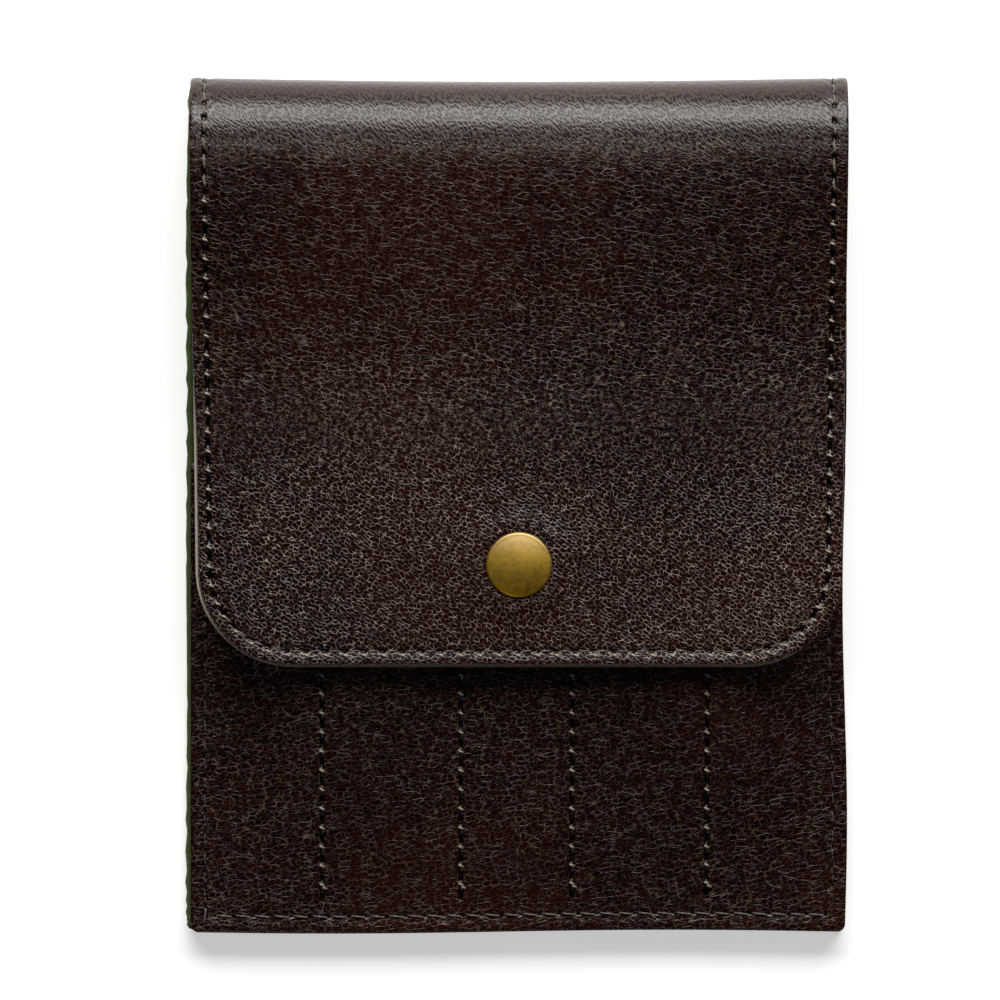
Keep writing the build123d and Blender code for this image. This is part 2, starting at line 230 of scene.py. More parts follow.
def body_warp(points):
    """The sewn edges aren't quite straight: the same small waves for all layers of the body."""
    out = points.copy()
    x, y = points[..., 0], points[..., 1]
    at_right = smooth((x - HALF_WIDTH + 25) / 25) * smooth((MOUTH_Y + 22 - y) / 20)
    out[..., 0] += at_right * RIGHT_WAVE * (np.cos(2 * math.pi * (y + 60) / RIGHT_LENGTH) - 1)
    at_bottom = smooth((BOTTOM_Y + 20 - y) / 20)
    out[..., 1] += at_bottom * (0.35 - BOTTOM_WAVE * np.cos(2 * math.pi * (x + 36) / BOTTOM_LENGTH))
    return out


# ---- seams
class Seam:
    """A row of stitches along a line in a sheet's own two lengths."""

    def __init__(self, points, closed=False):
        points = np.array(points, float)
        if closed:
            points = np.vstack([points, points[:1]])
        self.start, self.end = points[:-1], points[1:]
        self.run = self.end - self.start
        self.length = np.hypot(*self.run.T)
        self.before = np.concatenate([[0], np.cumsum(self.length)])
        self.count = round(self.before[-1] / STITCH_PITCH)
        self.pitch = self.before[-1] / self.count

    def near(self, u, s):
        """Distance along the seam and signed distance from it, of each point."""
        best = np.full(u.shape, 1e9)
        along, away = np.zeros(u.shape), np.zeros(u.shape)
        for start, run, length, before in zip(self.start, self.run, self.length, self.before):
            du, ds = u - start[0], s - start[1]
            t = np.clip((du * run[0] + ds * run[1]) / length ** 2, 0, 1)
            distance = np.hypot(du - t * run[0], ds - t * run[1])
            side = np.sign(run[0] * ds - run[1] * du)
            closer = distance < best
            best = np.where(closer, distance, best)
            along = np.where(closer, before + t * length, along)
            away = np.where(closer, distance * side, away)
        return along, away

    def at(self, along):
        """The point and direction of the seam at a distance along it."""
        part = min(max(np.searchsorted(self.before, along) - 1, 0), len(self.length) - 1)
        direction = self.run[part] / self.length[part]
        return self.start[part] + direction * (along - self.before[part]), direction

    def stitches(self, half_step=0.0):
        """Place and direction of each bit of thread that shows or, half a step on, of each slot."""
        return [self.at((number + half_step) * self.pitch % self.before[-1]) for number in range(self.count)]


def arc(centre_u, centre_s, radius, start, end, steps=16):
    """Points of a flat arc, with its angles in degrees."""
    return [(centre_u + radius * math.cos(a), centre_s + radius * math.sin(a))
            for a in np.radians(np.linspace(start, end, steps))]


TURN_U = FLAP_TIP_HALF - FLAP_CORNER
TURN_RADIUS = FLAP_CORNER - SEAM_INSET
SEAM_TURN = S_TURN - 0.35  # along the tip the seam is a little farther from the edge
strip_seam = Seam(
    [(-SEAM_U, BOTTOM_SEAM_INSET), (-SEAM_U, S_ROOT)]
    + arc(-TURN_U, SEAM_TURN, TURN_RADIUS, 180, 90)
    + arc(TURN_U, SEAM_TURN, TURN_RADIUS, 90, 0)
    + [(SEAM_U, S_ROOT), (SEAM_U, BOTTOM_SEAM_INSET)], closed=True)
DIVIDER_END_S = 5.6
divider_seams = [Seam([(x, FRONT_S), (x, DIVIDER_END_S)]) for x in DIVIDERS]
# Half the width of a slot is this share of half its length, and at most this.
SLOT_SHAPE, SLOT_HALF_WIDTH = 0.65, 0.42


def seam_field(u, s, seams):
    """Stitch phase, distance from the nearest seam, and half the length of its slots there.

    The thread shows at each whole phase, and halfway between it sinks into a dark slot."""
    phase, away, slot = np.zeros(u.shape), np.full(u.shape, 1e3), np.ones(u.shape)
    for seam, slot_at in seams:
        along, distance = seam.near(u, s)
        closer = np.abs(distance) < np.abs(away)
        phase = np.where(closer, along / seam.pitch, phase)
        away = np.where(closer, distance, away)
        slot = np.where(closer, slot_at(u, s), slot)
    return phase, away, slot


def leather_relief(u, s, seams, edge):
    """Height that sewing and cutting give the leather, given how far the cut edge is.

    Seams have a groove, deeper in each slot, with puckers beside; edges are a little rounded over."""
    phase, away, slot = seam_field(u, s, seams)
    width = np.minimum(SLOT_SHAPE * slot, SLOT_HALF_WIDTH)
    from_slot = np.abs(phase - np.floor(phase) - 0.5) * STITCH_PITCH
    groove = -0.1 * bell(away, 0.6) - 0.08 * bell(away, 1.5)
    inside = np.hypot(from_slot / slot, away / width)
    sunk = -0.45 * (1 - smooth((inside - 0.65) / 0.5))
    bridge = 0.1 * bell((STITCH_PITCH / 2 - from_slot) / 0.5, 1) * bell(away, 0.5)
    pucker = 0.05 * bell(np.abs(away) - 1.0, 0.5) * np.cos(phase * 2 * math.pi + 1.2 * np.sign(away))
    rounded = -0.3 * np.clip(1 - edge / 0.7, 0, 1) ** 2 + 0.1 * bell(edge - 1.4, 0.6)
    return groove + sunk + bridge + pucker + rounded


# ---- flat meshes in u and s
def graded(start, end, pitch, fine=(), fine_pitch=0.22, reach=1.3):
    """Values from start to end: evenly spaced, and closer together near some of them."""
    values = [start]
    while values[-1] < end - 1e-6:
        near = min([abs(values[-1] + fine_pitch - f) for f in fine], default=99)
        step = min(pitch, (near - reach) * 0.5 + fine_pitch) if near >= reach else fine_pitch
        values.append(min(values[-1] + step, end))
    if len(values) > 2 and values[-1] - values[-2] < fine_pitch / 3:
        values.pop(-2)
    return np.array(values)


def thinned(values, stride):
    """Every so many of the values, with the first and the last."""
    return np.concatenate([values[:-1:stride], values[-1:]])


def quads_of(ids):
    """Quads between neighbouring rows and columns of point numbers."""
    return np.stack([ids[:-1, :-1], ids[:-1, 1:], ids[1:, 1:], ids[1:, :-1]], axis=-1).reshape(-1, 4)


def tube_faces(rows, columns):
    """Faces of a closed tube: quads between its rings of points, and a cap at each end."""
    ids = np.arange(rows * columns).reshape(rows, columns)
    closed = np.column_stack([ids, ids[:, 0]])
    return quads_of(closed).tolist() + [ids[0, ::-1].tolist(), ids[-1].tolist()]


def grid(us, ss, corner=0.0):
    """Points, quads and border loop of a rectangle, with its two corners at low s rounded."""
    s, u = np.meshgrid(ss, us, indexing="ij")
    points = np.stack([u, s], axis=-1)
    if corner:
        low_u, high_u, low_s = us[0] + corner, us[-1] - corner, ss[0] + corner
        a = np.clip(np.where(u < low_u, low_u - u, np.where(u > high_u, u - high_u, 0)) / corner, 0, 1)
        b = np.clip((low_s - s) / corner, 0, 1)
        both = (a > 0) & (b > 0)
        new_a, new_b = a * np.sqrt(1 - b ** 2 / 2), b * np.sqrt(1 - a ** 2 / 2)
        side = np.where(u < low_u, -1, 1)
        edge_u = np.where(u < low_u, low_u, high_u)
        points[..., 0] = np.where(both, edge_u + side * new_a * corner, u)
        points[..., 1] = np.where(both, low_s - new_b * corner, s)
    ids = np.arange(len(ss) * len(us)).reshape(len(ss), len(us))
    loop = np.concatenate([ids[0, :-1], ids[:-1, -1], ids[-1, :0:-1], ids[:0:-1, 0]])
    return points.reshape(-1, 2), quads_of(ids), loop


def fine_and_coarse(us, ss, strides, corner=0.0):
    """A grid for a sheet's visible face, and one with fewer rows and columns for its hidden face."""
    return grid(us, ss, corner), grid(thinned(us, strides[0]), thinned(ss, strides[1]), corner)


EDGE_STEP = 0.46  # between the points of the flap's free edge


def flap_outline(inset, stride=1):
    """Points of the flap's free edge, from the left of its root to the right, moved inwards.

    It also returns which of them is in the middle of the left corner."""
    side_count = round((S_TURN - S_ROOT) / EDGE_STEP)
    arc_count = round(FLAP_CORNER * math.pi / 4 / EDGE_STEP)
    tip_count = round(TURN_U * 2 / EDGE_STEP)
    left = [((-HALF_WIDTH + (HALF_WIDTH - FLAP_TIP_HALF) * t, S_ROOT + (S_TURN - S_ROOT) * t), (1, 0))
            for t in np.linspace(0, 1, side_count, endpoint=False)]
    for angle in np.radians(np.linspace(180, 90, 2 * arc_count, endpoint=False)):
        direction = (math.cos(angle), math.sin(angle))
        left.append(((-TURN_U + FLAP_CORNER * direction[0], S_TURN + FLAP_CORNER * direction[1]),
                     (-direction[0], -direction[1])))
    tip = [((u, S_TIP), (0, -1)) for u in np.linspace(-TURN_U, TURN_U, tip_count + 1)]
    right = [((-point[0], point[1]), (-inward[0], inward[1])) for point, inward in left[::-1]]
    whole = left + tip + right
    points = np.array([point for point, _ in whole]) + inset * np.array([inward for _, inward in whole])
    corner, end = side_count + arc_count, len(whole) - 1
    keep = sorted({*range(0, corner, stride), *range(corner, end - corner, stride), end - corner,
                   *range(end, end - corner, -stride)})
    return points[keep], keep.index(corner)


def flap_mesh(edge_inset, insets, stride=1):
    """Points, quads and border loop of the flap: rings along its free edge, a grid within."""
    rings = [flap_outline(edge_inset + inset, stride)[0] for inset in insets]
    corner = flap_outline(0, stride)[1]
    count = len(rings[0])
    ring_ids = np.arange(len(rings) * count).reshape(len(rings), count)
    last = rings[-1]
    sides, tips = corner + 1, count - 2 * corner
    left, tip, right = last[:sides], last[corner:count - corner], last[count - corner - 1:][::-1]
    # The grid within is a patch between the last ring's sides, its tip and the flap's root.
    a = (tip[:, 0] - tip[0, 0]) / (tip[-1, 0] - tip[0, 0])
    root = np.stack([left[0, 0] + (right[0, 0] - left[0, 0]) * a, np.full(tips, S_ROOT)], axis=-1)
    b = np.linspace(0, 1, sides)[:, None, None]
    a = a[None, :, None]
    inner = ((1 - b) * root[None] + b * tip[None] + (1 - a) * left[:, None] + a * right[:, None]
             - (1 - a) * (1 - b) * root[0] - a * (1 - b) * root[-1] - (1 - a) * b * tip[0] - a * b * tip[-1])
    ids = np.zeros((sides, tips), int)
    ids[:, 0] = ring_ids[-1, :sides]
    ids[-1, :] = ring_ids[-1, corner:count - corner]
    ids[:, -1] = ring_ids[-1, ::-1][:sides]
    fresh = ids[:-1, 1:-1]
    fresh[...] = ring_ids.size + np.arange(fresh.size).reshape(fresh.shape)
    points = np.vstack([*rings, inner[:-1, 1:-1].reshape(-1, 2)])
    quads = np.vstack([quads_of(ring_ids), quads_of(ids)[:, ::-1]])
    loop = np.concatenate([ring_ids[0], ring_ids[1:, -1], ids[0, -2:0:-1], ring_ids[:0:-1, 0]])
    return points, quads, loop


# ---- solid sheets
BEND_SHRINK = 0.85  # how much of the fold's steepness its grain makes up for


def grain_length(s):
    """The strip's length as its grain has it: stretched where the leather is bent over."""
    rows = np.linspace(S_BACK, S_ROOT, 200)
    stretch = np.clip(np.sin(np.where(rows < S_CREST, (rows - S_BACK) / BACK_RADIUS,
                                      math.pi / 2 - (rows - S_CREST) / FRONT_RADIUS)), 0, 1)
    slope = np.sqrt(1 - BEND_SHRINK * stretch ** 2)
    lengths = np.concatenate([[0], np.cumsum((slope[1:] + slope[:-1]) / 2 * np.diff(rows))])
    lengths += S_ROOT - lengths[-1]
    inside = np.interp(s, rows, lengths)
    return np.where(s < S_BACK, s - S_BACK + lengths[0], np.where(s > S_ROOT, s, inside))


def link(obj):
    """Put an object into the scene."""
    bpy.context.scene.collection.objects.link(obj)
    return obj


def turn_outwards(mesh):
    """Make all faces look outwards, and shade them smooth except over sharp edges."""
    work = bmesh.new()
    work.from_mesh(mesh)
    bmesh.ops.recalc_face_normals(work, faces=work.faces)
    for edge in work.edges:
        edge.smooth = not (edge.is_manifold and edge.calc_face_angle(0) > math.radians(50))
    for face in work.faces:
        face.smooth = True
    work.to_mesh(mesh)
    work.free()


def closed_mesh(name, points, faces, **vectors):
    """An object from points in millimetres, with a vector for each point for its material to read."""
    mesh = bpy.data.meshes.new(name)
    mesh.from_pydata((points * MM).tolist(), [], faces)
    mesh.validate()
    for key, values in vectors.items():
        attribute = mesh.attributes.new(key, "FLOAT_VECTOR", "POINT")
        attribute.data.foreach_set("vector", np.ascontiguousarray(values, np.float32).ravel())
    turn_outwards(mesh)
    return link(bpy.data.objects.new(name, mesh))


def solid_sheet(name, grids, outer, inner, seams, edge_material=1, inner_material=0, tone=None):
    """A closed sheet: a fine outer face, a coarse inner face, and a wall between their borders.

    The two grids are (points, quads, loop); the coarse border is a part of the fine one.
    outer and inner turn u and s into points in space; tone is kept for the material of the edge."""
    (fine_flat, fine_quads, fine_loop), (coarse_flat, coarse_quads, coarse_loop) = grids
    offset = len(fine_flat)
    faces = fine_quads.tolist() + (coarse_quads[:, ::-1] + offset).tolist()
    outer_count, surface_count = len(fine_quads), len(faces)
    place = {tuple(np.round(fine_flat[i], 3)): number for number, i in enumerate(fine_loop)}
    stops = []
    for i in coarse_loop:
        key = tuple(np.round(coarse_flat[i], 3))
        if key in place:
            stops.append((place[key], int(i) + offset))
    stops.sort()
    around = stops[1:] + [(stops[0][0] + len(fine_loop), stops[0][1])]
    for (here, low_here), (there, low_there) in zip(stops, around):
        run = [int(fine_loop[number % len(fine_loop)]) for number in range(here, there + 1)]
        faces += [(a, b, low_here) for a, b in zip(run[:-2], run[1:-1])]
        faces.append((run[-2], run[-1], low_there, low_here))
    flat = np.vstack([fine_flat, coarse_flat])
    tones = tone(*flat.T) if tone else np.zeros(len(flat))
    obj = closed_mesh(name, np.vstack([outer(*fine_flat.T), inner(*coarse_flat.T)]), faces,
                      sheet=np.column_stack([flat[:, 0], grain_length(flat[:, 1]), tones]),
                      seam=np.column_stack(seam_field(*flat.T, seams)))
    material_ids = np.zeros(len(obj.data.polygons), np.int32)
    material_ids[outer_count:surface_count] = inner_material
    material_ids[surface_count:] = edge_material
    obj.data.polygons.foreach_set("material_index", material_ids)
    return obj


# ---- materials
class Nodes:
    """Short calls that add and join the shader nodes of one material."""

    def __init__(self, name, flat=True):
        self.dimensions = "2D" if flat else "3D"
        self.material = bpy.data.materials.new(name)
        self.material.use_nodes = True
        self.tree = self.material.node_tree
        self.shader = self.tree.nodes["Principled BSDF"]

    def add(self, kind, inputs, **settings):
        node = self.tree.nodes.new("ShaderNode" + kind)
        for key, value in settings.items():
            setattr(node, key, value)
        for key, value in inputs.items():
            self.set(node.inputs[key], value)
        return node

    def set(self, socket, value):
        """Link a socket to the input, or give it a value; a colour is three numbers."""
        if isinstance(value, bpy.types.NodeSocket):
            self.tree.links.new(value, socket)
        else:
            socket.default_value = (*value, 1) if socket.type == "RGBA" else value

    def math(self, operation, *values):
        return self.add("Math", dict(enumerate(values)), operation=operation).outputs[0]

    def times(self, first, *others):
        for other in others:
            first = self.math("MULTIPLY", first, other)
        return first

    def plus(self, a, b):
        return self.math("ADD", a, b)

    def linear(self, value, slope, start):
        """The value times the slope, with the start added."""
        return self.math("MULTIPLY_ADD", value, slope, start)

    def vector(self, operation, a, b):
        return self.add("VectorMath", {0: a, 1: b}, operation=operation).outputs[0]

    def moved(self, vector, shift):
        return self.vector("ADD", vector, shift)

    def grown(self, vector, factor):
        return self.add("VectorMath", {0: vector, 3: factor}, operation="SCALE").outputs[0]

    def part(self, vector, number):
        """One of the three numbers of a vector."""
        return self.add("SeparateXYZ", {0: vector}).outputs[number]

    def attribute(self, name):
        return self.add("Attribute", {}, attribute_name=name).outputs["Vector"]

    def aslant(self, vector, angle, stretch, seed=0.0):
        """The vector for a pattern at an angle, whose cells are stretched along and across it.

        A mapping of this type turns first and then stretches; larger numbers give larger cells."""
        turn = (0, 0, math.radians(angle))
        return self.add("Mapping", {"Vector": vector, "Location": (seed, 0, 0), "Rotation": turn,
                                    "Scale": (*stretch, 1)}, vector_type="TEXTURE").outputs[0]

    def noise(self, vector, scale, detail=3.0, roughness=0.5, output="Fac"):
        inputs = {"Vector": vector, "Scale": scale, "Detail": detail, "Roughness": roughness}
        return self.add("TexNoise", inputs, noise_dimensions=self.dimensions).outputs[output]

    def cells(self, vector, scale, feature="F1", randomness=1.0, output="Distance"):
        return self.add("TexVoronoi", {"Scale": scale, "Randomness": randomness, "Vector": vector},
                        feature=feature, voronoi_dimensions=self.dimensions).outputs[output]

    def ramp(self, value, low, high, start=0.0, end=1.0):
        """From start to end as the value goes from low to high, with a smooth step."""
        return self.add("MapRange", {0: value, 1: low, 2: high, 3: start, 4: end},
                        interpolation_type="SMOOTHSTEP").outputs[0]

    def spots(self, vector, scale, low, high, start=0.0, end=1.0):
        """Soft spots: a noise, ramped from start to end."""
        return self.ramp(self.noise(vector, scale, 2.0), low, high, start, end)

    def mix(self, factor, a, b):
        return self.add("Mix", {0: factor, 6: a, 7: b}, data_type="RGBA").outputs[2]

    def bump(self, height, distance, strength):
        return self.add("Bump", {"Height": height, "Distance": distance, "Strength": strength}).outputs[0]

    def principled(self, **values):
        for key, value in values.items():
            self.set(self.shader.inputs[key.replace("_", " ")], value)
        return self.material


def warped(n, vector, amount, scale):
    """The vector moved about by a soft noise, so that a pattern on it isn't regular."""
    shift = n.vector("SUBTRACT", n.noise(vector, scale, 2.0, output="Color"), (0.5, 0.5, 0.5))
    return n.moved(vector, n.vector("MULTIPLY", shift, (amount, amount, 0)))


# Colours are linear red, green and blue.
DEEP_BROWN, BROWN, RED_BROWN = (0.004, 0.0003, 0.0001), (0.014, 0.0018, 0.0008), (0.022, 0.0034, 0.0014)
PATCH_BROWN, CREST_BROWN = (0.014, 0.0048, 0.0032), (0.014, 0.002, 0.0008)
DULL_CREASE, BRIGHT_CREASE, PALE_CREASE_AND_HIGHLIGHT = (0.036, 0.019, 0.013), (0.13, 0.083, 0.064), (0.54, 0.42, 0.36)
BENT_CREASE_PAINTED_SHEEN, CREST_CREASE, SLOT_PAINTED_SHADE = (0.08, 0.068, 0.061), (0.045, 0.015, 0.006), (0.0009, 0.0007, 0.0006)
CUT_DARK, CUT_LIGHT, CUT_BARE = (0.06, 0.028, 0.017), (0.13, 0.066, 0.038), (0.46, 0.36, 0.3)
FLESH_DARK, FLESH_LIGHT = (0.03, 0.014, 0.009), (0.085, 0.046, 0.03)
FELT_DARK, FELT_LIGHT, FELT_MATTED = (0.010, 0.024, 0.004), (0.034, 0.064, 0.014), (0.018, 0.042, 0.009)
FELT_EDGE_PAINTED_HIGHLIGHT, FELT_SHEEN = (0.17, 0.22, 0.09), (0.45, 0.52, 0.22)
# The thread's pale and dark colours are painted lit and shaded copies of one thread, picked by each stitch's
# tone.
THREAD_PAINTED_LIT = ((0.24, 0.165, 0.12), (0.5, 0.4, 0.33))
THREAD_PAINTED_SHADED = ((0.022, 0.016, 0.013), (0.075, 0.062, 0.054))
BRASS_BRIGHT, BRASS_DULL = (0.92, 0.58, 0.085), (0.66, 0.4, 0.05)
BRASS_PAINTED_HIGHLIGHT, BRASS_PAINTED_SHADE = (0.41, 0.28, 0.11), (0.72, 0.4, 0.028)
STEEL = (0.55, 0.54, 0.52)

CELLS_PER_MM = 1.25


def creases(n, place, angle, stretch, seed, randomness):
    """Creases between leather cells that lie at an angle: how near one is, and a tint per cell."""
    place = n.aslant(place, angle, stretch, seed)
    nearest, next_one, tint = [n.cells(place, CELLS_PER_MM, feature, randomness, output) for feature, output
                               in (("F1", "Distance"), ("F2", "Distance"), ("F1", "Color"))]
    return n.math("SUBTRACT", next_one, nearest), n.add("SeparateColor", {0: tint}).outputs[0]


def leather_material(name, seed, fold_start, fold_end, crease_paling, painted_shade_scale):
    """Dark pebbled leather: small dark cells, parted by thin lighter creases.

    Where it is bent over, between two lengths, its cells are finer and lie aslant, and its creases are
    painted a neutral grey: a painted highlight for the fold's sheen. Beyond that its creases are painted
    paler towards the flap's tip, by the given amount: a painted highlight for the light that the lower
    flap catches. The cells' brown is scaled by the last number; below 1 it paints them darker, as painted
    shade."""
    n = Nodes(name)
    sheet = n.attribute("sheet")
    along = n.part(sheet, 1)
    tipward = n.ramp(along, fold_end + 20.0, fold_end + 75.0, 0.0, crease_paling)
    # Towards the flap's tip the cells get smaller, about the flap's middle.
    middle = n.vector("SUBTRACT", sheet, (0, fold_end + 50.0, 0))
    place = n.moved(sheet, (seed * 37.0, seed * 19.0, 0))
    place = n.moved(place, n.grown(middle, n.linear(tipward, 0.14, -0.1)))
    wavy = place
    for amount, scale in ((1.4, 0.09), (0.5, 0.42), (0.035, 2.6)):
        wavy = warped(n, wavy, amount, scale)
    # Wavy cells run across the case; towards the flap's tip they are rounder and lie aslant.
    wave_spread, wave_tint = creases(n, wavy, 8, (1.38, 0.82), 0.0, 0.95)
    round_spread, round_tint = creases(n, wavy, 36, (1.36, 0.96), 50.0, 0.86)
    rounder = n.ramp(tipward, 0.4, 0.95)
    tint = n.linear(rounder, n.math("SUBTRACT", round_tint, wave_tint), wave_tint)
    pits = n.cells(n.aslant(wavy, 62, (1.45, 0.72)), 1.6)
    ragged = n.plus(along, n.times(n.noise(place, 0.3, 2.0), 6.0))
    bent = n.ramp(ragged, fold_end - 1.0, fold_end + 10.0, 1.0, 0.0)
    bent = n.times(bent, n.ramp(along, fold_start, fold_start + 6.0))
    # Where one pattern gives way to the other, both are at their full strength.
    plain = n.ramp(bent, 0.5, 1.0, 1.0, 0.0)
    pitted = n.ramp(bent, 0.0, 0.5)
    strength = n.spots(place, 0.6, 0.32, 0.64, 0.4, 0.95)
    # Coarser, longer creases stand out among the fine ones.
    coarse_spread, _ = creases(n, wavy, 12, (2.2, 1.14), 90.0, 1.0)
    marked = n.times(n.ramp(coarse_spread, 0.0, 0.13, 0.95, 0.0), n.linear(rounder, -0.85, 1.0),
                     n.spots(place, 0.45, 0.36, 0.58, 0.2, 1.0))

    def blended(low, high):
        """Both patterns' creases, of one width, with a soft change from one to the other."""
        waves = n.times(n.ramp(wave_spread, low, high, 1.0, 0.0), n.linear(rounder, -0.7, 0.7))
        return n.times(n.linear(rounder, n.ramp(round_spread, low, high, 1.0, 0.0), waves), strength)

    line = n.math("MAXIMUM", blended(0.01, 0.15), marked)
    ridge = n.times(n.ramp(pits, 0.26, 0.6), n.times(pitted, 0.9))
    crease = n.math("MAXIMUM", n.times(line, plain), ridge)

    # Broad parts of the hide are redder, and in others the creases are rubbed paler.
    redder = n.spots(n.moved(place, (5.0, 60.0, 0)), 0.021, 0.4, 0.64, 0.0, 0.6)
    rubbed = n.ramp(n.noise(n.moved(place, (90.0, 20.0, 0)), 0.03), 0.34, 0.62, 0.7, 1.0)
    patch = n.ramp(n.noise(place, 0.05, 3.0, 0.6), 0.45, 0.75, 0.0, 0.15)
    # The crest is browner, and the creases are painted paler towards the flap's tip: a painted highlight for
    # the light that the lower flap catches.
    crest = n.times(n.ramp(along, fold_end - 9.8, fold_end - 7.4, 1.0, 0.0), bent)
    # The cells' browns are scaled down here: painted shade, darker on the strip than on the front.
    deep, brown, red = ([painted_shade_scale * part for part in color] for color in (DEEP_BROWN, BROWN, RED_BROWN))
    dark = n.mix(n.ramp(tint, 0.0, 1.0), deep, brown)
    for amount, color in ((redder, red), (patch, PATCH_BROWN), (crest, CREST_BROWN)):
        dark = n.mix(amount, dark, color)
    # Creases painted paler towards the flap's tip: a painted highlight for the light that the lower flap
    # catches.
    light = n.mix(tipward, BRIGHT_CREASE, PALE_CREASE_AND_HIGHLIGHT)
    light = n.mix(n.spots(place, 1.1, 0.34, 0.66), DULL_CREASE, light)
    # Over the bend the creases are painted a neutral grey, a painted highlight for the fold's sheen; on the
    # crest they are browner.
    for amount, color in ((n.ramp(bent, 0.15, 0.9), BENT_CREASE_PAINTED_SHEEN), (crest, CREST_CREASE)):
        light = n.mix(amount, light, color)
    crease = n.times(crease, rubbed)
    color = n.mix(crease, dark, light)

    phase, away, slot = n.add("SeparateXYZ", {0: n.attribute("seam")}).outputs
    from_slot = n.times(n.math("PINGPONG", n.plus(phase, 0.5), 0.5), STITCH_PITCH)
    width = n.math("MINIMUM", n.times(slot, SLOT_SHAPE), SLOT_HALF_WIDTH)
    shape = n.plus(*(n.math("POWER", n.math("DIVIDE", distance, half), 2.0)
                     for distance, half in ((from_slot, slot), (away, width))))
    ragged = n.linear(n.noise(place, 2.6, 2.0), 0.5, -0.25)
    hole = n.ramp(n.plus(shape, ragged), 0.9, 1.25, 1.0, 0.0)
    # Each slot is painted near black: painted shade in the sunk slot, and the dark thread that lies in it.
    color = n.mix(hole, color, SLOT_PAINTED_SHADE)

    groove = n.times(n.math("MAXIMUM", blended(0.0, 0.4), n.times(marked, 0.9)), plain)
    sunk = n.times(n.ramp(pits, 0.15, 0.6, 1.0, 0.0), pitted)
    height = n.times(n.linear(sunk, 0.8, groove), -1.0)
    height = n.plus(height, n.times(n.noise(place, 4.5, 3.0, 0.6), 0.02))
    rough = n.ramp(n.noise(place, 0.7, 4.0, 0.6), 0.3, 0.7, 0.16, 0.2)
    rough = n.plus(rough, n.times(crease, n.times(plain, 0.1)))
    rough = n.times(n.linear(bent, 0.05, rough), n.math("SUBTRACT", 1.0, n.times(hole, 0.7)))
    return n.principled(Base_Color=color, Roughness=rough, Normal=n.bump(height, 0.00005, 1.0),
                        Specular_IOR_Level=0.4)


def edge_material(name):
    """Cut edge of the leather: pressed fibres, a little dyed, and rubbed bare by its tone."""
    n = Nodes(name)
    place = n.attribute("sheet")
    fibres = n.noise(place, 3.2, 5.0, 0.7)
    color = n.mix(n.ramp(fibres, 0.35, 0.65), CUT_DARK, CUT_LIGHT)
    color = n.mix(n.times(n.part(place, 2), n.ramp(fibres, 0.25, 0.5, 0.7, 1.0)), color, CUT_BARE)
    return n.principled(Base_Color=color, Roughness=0.72, Normal=n.bump(fibres, 0.00006, 0.7),
                        Specular_IOR_Level=0.1)


def flesh_material(name):
    """Flesh side of the leather: a short brown nap."""
    n = Nodes(name)
    nap = n.noise(warped(n, n.attribute("sheet"), 0.8, 0.9), 2.8, 6.0, 0.72)
    color = n.mix(n.ramp(nap, 0.3, 0.7), FLESH_DARK, FLESH_LIGHT)
    return n.principled(Base_Color=color, Roughness=0.9, Normal=n.bump(nap, 0.00015, 0.8),
                        Specular_IOR_Level=0.2, Sheen_Weight=0.2, Sheen_Roughness=0.5)


def felt_material(name):
    """Green felt: short matted fibres, lighter where they stand up: at its left edge that is a painted
    highlight.
    """
    n = Nodes(name)
    place = n.attribute("sheet")
    fibres = n.noise(warped(n, n.vector("MULTIPLY", place, (1.0, 1.35, 1)), 0.8, 1.1), 3.4, 6.0, 0.75)
    mats = n.noise(place, 0.35, 4.0, 0.6)
    color = n.mix(n.ramp(fibres, 0.3, 0.7), FELT_DARK, FELT_LIGHT)
    color = n.mix(n.ramp(mats, 0.35, 0.7, 0.0, 0.5), color, FELT_MATTED)
    # Painted highlight: the left edge is mixed towards a pale green.
    color = n.mix(n.times(n.part(place, 2), n.ramp(fibres, 0.3, 0.6, 0.3, 1.0)), color, FELT_EDGE_PAINTED_HIGHLIGHT)
    height = n.plus(n.times(fibres, 0.8), n.times(mats, 0.5))
    return n.principled(Base_Color=color, Roughness=0.92, Normal=n.bump(height, 0.00022, 0.9),
                        Specular_IOR_Level=0.15, Sheen_Weight=0.35, Sheen_Roughness=0.5,
                        Sheen_Tint=FELT_SHEEN)


def thread_material(name):
    """Waxed, twisted thread, in lit and shaded painted copies: dark, a painted shade, where it lies in the
    leather and pale, a painted highlight, where it stands out.
    """
    n = Nodes(name)
    place = n.attribute("sheet")
    strands = n.noise(place, 3.0, 3.0, 0.6)
    deep, pale = (n.mix(n.ramp(strands, 0.3, 0.7), *colors) for colors in (THREAD_PAINTED_SHADED, THREAD_PAINTED_LIT))
    return n.principled(Base_Color=n.mix(n.part(place, 2), deep, pale), Roughness=0.5,
                        Normal=n.bump(strands, 0.00004, 0.6))


